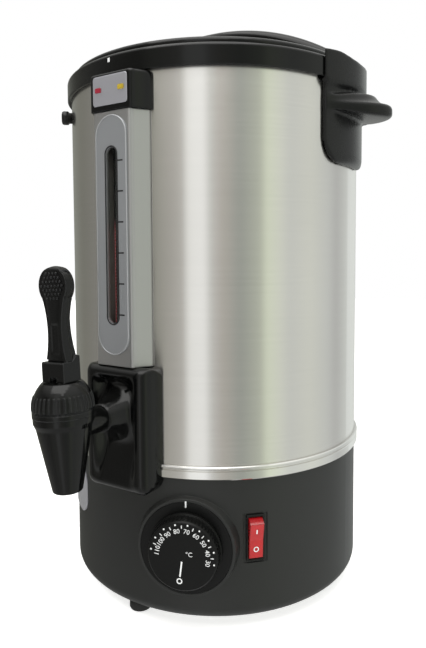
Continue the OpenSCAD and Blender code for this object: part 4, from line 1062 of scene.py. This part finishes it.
feet = dict(steps=40,
            # (direction round the urn, distance from its axis)
            places=((0, 0.1115), (90, 0.103), (180, 0.103), (270, 0.103)),
            # (radius, height)
            profile=[(0.0072, 0.0), (0.0080, 0.0004), (0.0085, 0.0014), (0.0085, 0.0062), (0.0081, 0.0072)])


def turnedSolid(profile, steps):
    # A closed profile of (radius, height) carried round an axis
    return loftSolid(stackCircles(profile, steps).reshape(len(profile), steps, 3))


def makeSideStud():
    # The profile turned about a line that points out from the shell
    g = read(stud)
    points, faces = turnedSolid(g.profile, g.steps)
    placed = onWall(points[:, 0], g.wall + points[:, 2], g.height + points[:, 1], g.azimuth)
    meshPiece("sideStud", placed, faces, "urn", "black_plastic")


def makeFeet():
    # The same turned profile at four places
    points, faces = turnedSolid(feet["profile"], feet["steps"])
    x, y, z = points.T
    points, faces = joinParts([(onWall(x, reach + y, z, azimuth), faces) for azimuth,
                               reach in feet["places"]])
    meshPiece("rubberFeet", points, faces, "urn", "rubber", node="feet")


makeSideStud()
makeFeet()
print("urn: stud and feet")

# Floor, light and surroundings

studio = dict(
    floorColour=(0.90, 0.90, 0.89), floorGlow=0.66, floorRadius=3.0, floorSteps=96,
    background=(1.0, 1.0, 1.0), overhead=(1.15, 1.15, 1.12), below=(0.55, 0.55, 0.54), slopes=(0.45, 0.85),
    # (direction round the urn in degrees, colour) of what the bright metal mirrors
    bands=[(-180, (0.76, 0.79, 0.76)), (-160, (0.58, 0.59, 0.57)), (-134, (0.27, 0.28, 0.25)),
           (-95, (0.20, 0.20, 0.175)), (-60, (0.26, 0.255, 0.24)), (-24, (0.20, 0.19, 0.175)),
           (-14, (0.33, 0.33, 0.29)), (0, (0.42, 0.41, 0.38)), (8, (0.50, 0.49, 0.46)),
           (12, (0.92, 0.93, 0.91)), (24, (0.96, 0.97, 0.96)), (29, (0.60, 0.60, 0.58)),
           (37, (0.47, 0.45, 0.41)), (51, (0.34, 0.36, 0.33)), (67, (0.50, 0.53, 0.45)),
           (72, (0.76, 0.82, 0.66)), (83, (0.74, 0.77, 0.69)), (91, (0.66, 0.68, 0.65)),
           (110, (0.72, 0.74, 0.68)), (130, (0.63, 0.65, 0.63)), (141, (0.52, 0.53, 0.52)),
           (154, (0.60, 0.62, 0.60)), (166, (0.80, 0.83, 0.81)), (180, (0.76, 0.79, 0.76))],
)


def makeFloor():
    # A flat disc; mirrored rays pass through it so the metal mirrors the room's bands alone
    s = read(studio)
    edge = circle(s.floorRadius, s.floorSteps)
    mesh = bpy.data.meshes.new("floor")
    mesh.from_pydata(np.column_stack([edge, np.zeros(len(edge))]).tolist(), [], [list(range(len(edge)))])
    floor = addObject("floor", mesh)
    material = bpy.data.materials.new("paleFloor")
    tree = emptyTree(material)
    paint = addNode(tree, "BsdfDiffuse", {"Color": s.floorColour})
    glow = addNode(tree, "Emission", {"Color": (1, 1, 1), "Strength": s.floorGlow})
    both = addNode(tree, "AddShader", {0: paint.outputs[0], 1: glow.outputs[0]})
    clear = addNode(tree, "BsdfTransparent")
    glossy = addNode(tree, "LightPath").outputs["Is Glossy Ray"]
    mix = addNode(tree, "MixShader", {0: glossy, 1: both.outputs[0], 2: clear.outputs[0]})
    addNode(tree, "OutputMaterial", {0: mix.outputs[0]})
    mesh.materials.append(material)


def makeWorld():
    # White behind the urn; light and mirrors see upright bands, paler overhead and darker below
    s = read(studio)
    world = bpy.data.worlds.new("studioRoom")
    scene.world = world
    tree = emptyTree(world)
    parts = splitUp(addNode(tree, "TexCoord").outputs["Generated"])
    share = addMath("MULTIPLY_ADD", angleRound(parts), 1 / (2 * math.pi), 0.5)
    room = addRamp(share, [((degrees + 180) / 360, colour) for degrees, colour in s.bands])
    low, high = s.slopes
    for sign, colour in ((1, s.overhead), (-1, s.below)):
        slope = addRange(parts["Z"], fromLow=sign * low, fromHigh=sign * high)
        room = mixColours(slope, room, colour)
    light = addNode(tree, "Background", {"Color": room})
    plain = addNode(tree, "Background", {"Color": s.background})
    direct = addNode(tree, "LightPath").outputs["Is Camera Ray"]
    mix = addNode(tree, "MixShader", {0: direct, 1: light.outputs[0], 2: plain.outputs[0]})
    addNode(tree, "OutputWorld", {0: mix.outputs[0]})


softLights = [
    dict(name="overheadSoftbox", place=(0.1, -0.5, 1.5), aim=(0, 0, 0.2), size=1.2, watts=9.0,
         colour=(1.0, 0.99, 0.97), mirrored=True),
    dict(name="leftSoftbox", place=(-1.3, -0.25, 0.8), aim=(0, -0.1, 0.2), size=0.5, watts=5.0,
         colour=(1.0, 1.0, 1.0), mirrored=False),
]


def makeLights():
    # Square soft lights, each turned towards its aim
    for s in map(read, softLights):
        data = bpy.data.lights.new(s.name, "AREA")
        data.shape, data.size, data.energy, data.color = "SQUARE", s.size, s.watts, s.colour
        light = addObject(s.name, data)
        light.location = s.place
        light.visible_glossy = s.mirrored
        light.rotation_euler = (Vector(s.aim) - Vector(s.place)).to_track_quat("-Z", "Y").to_euler()


makeFloor()
makeWorld()
makeLights()
print("urn: floor and light")
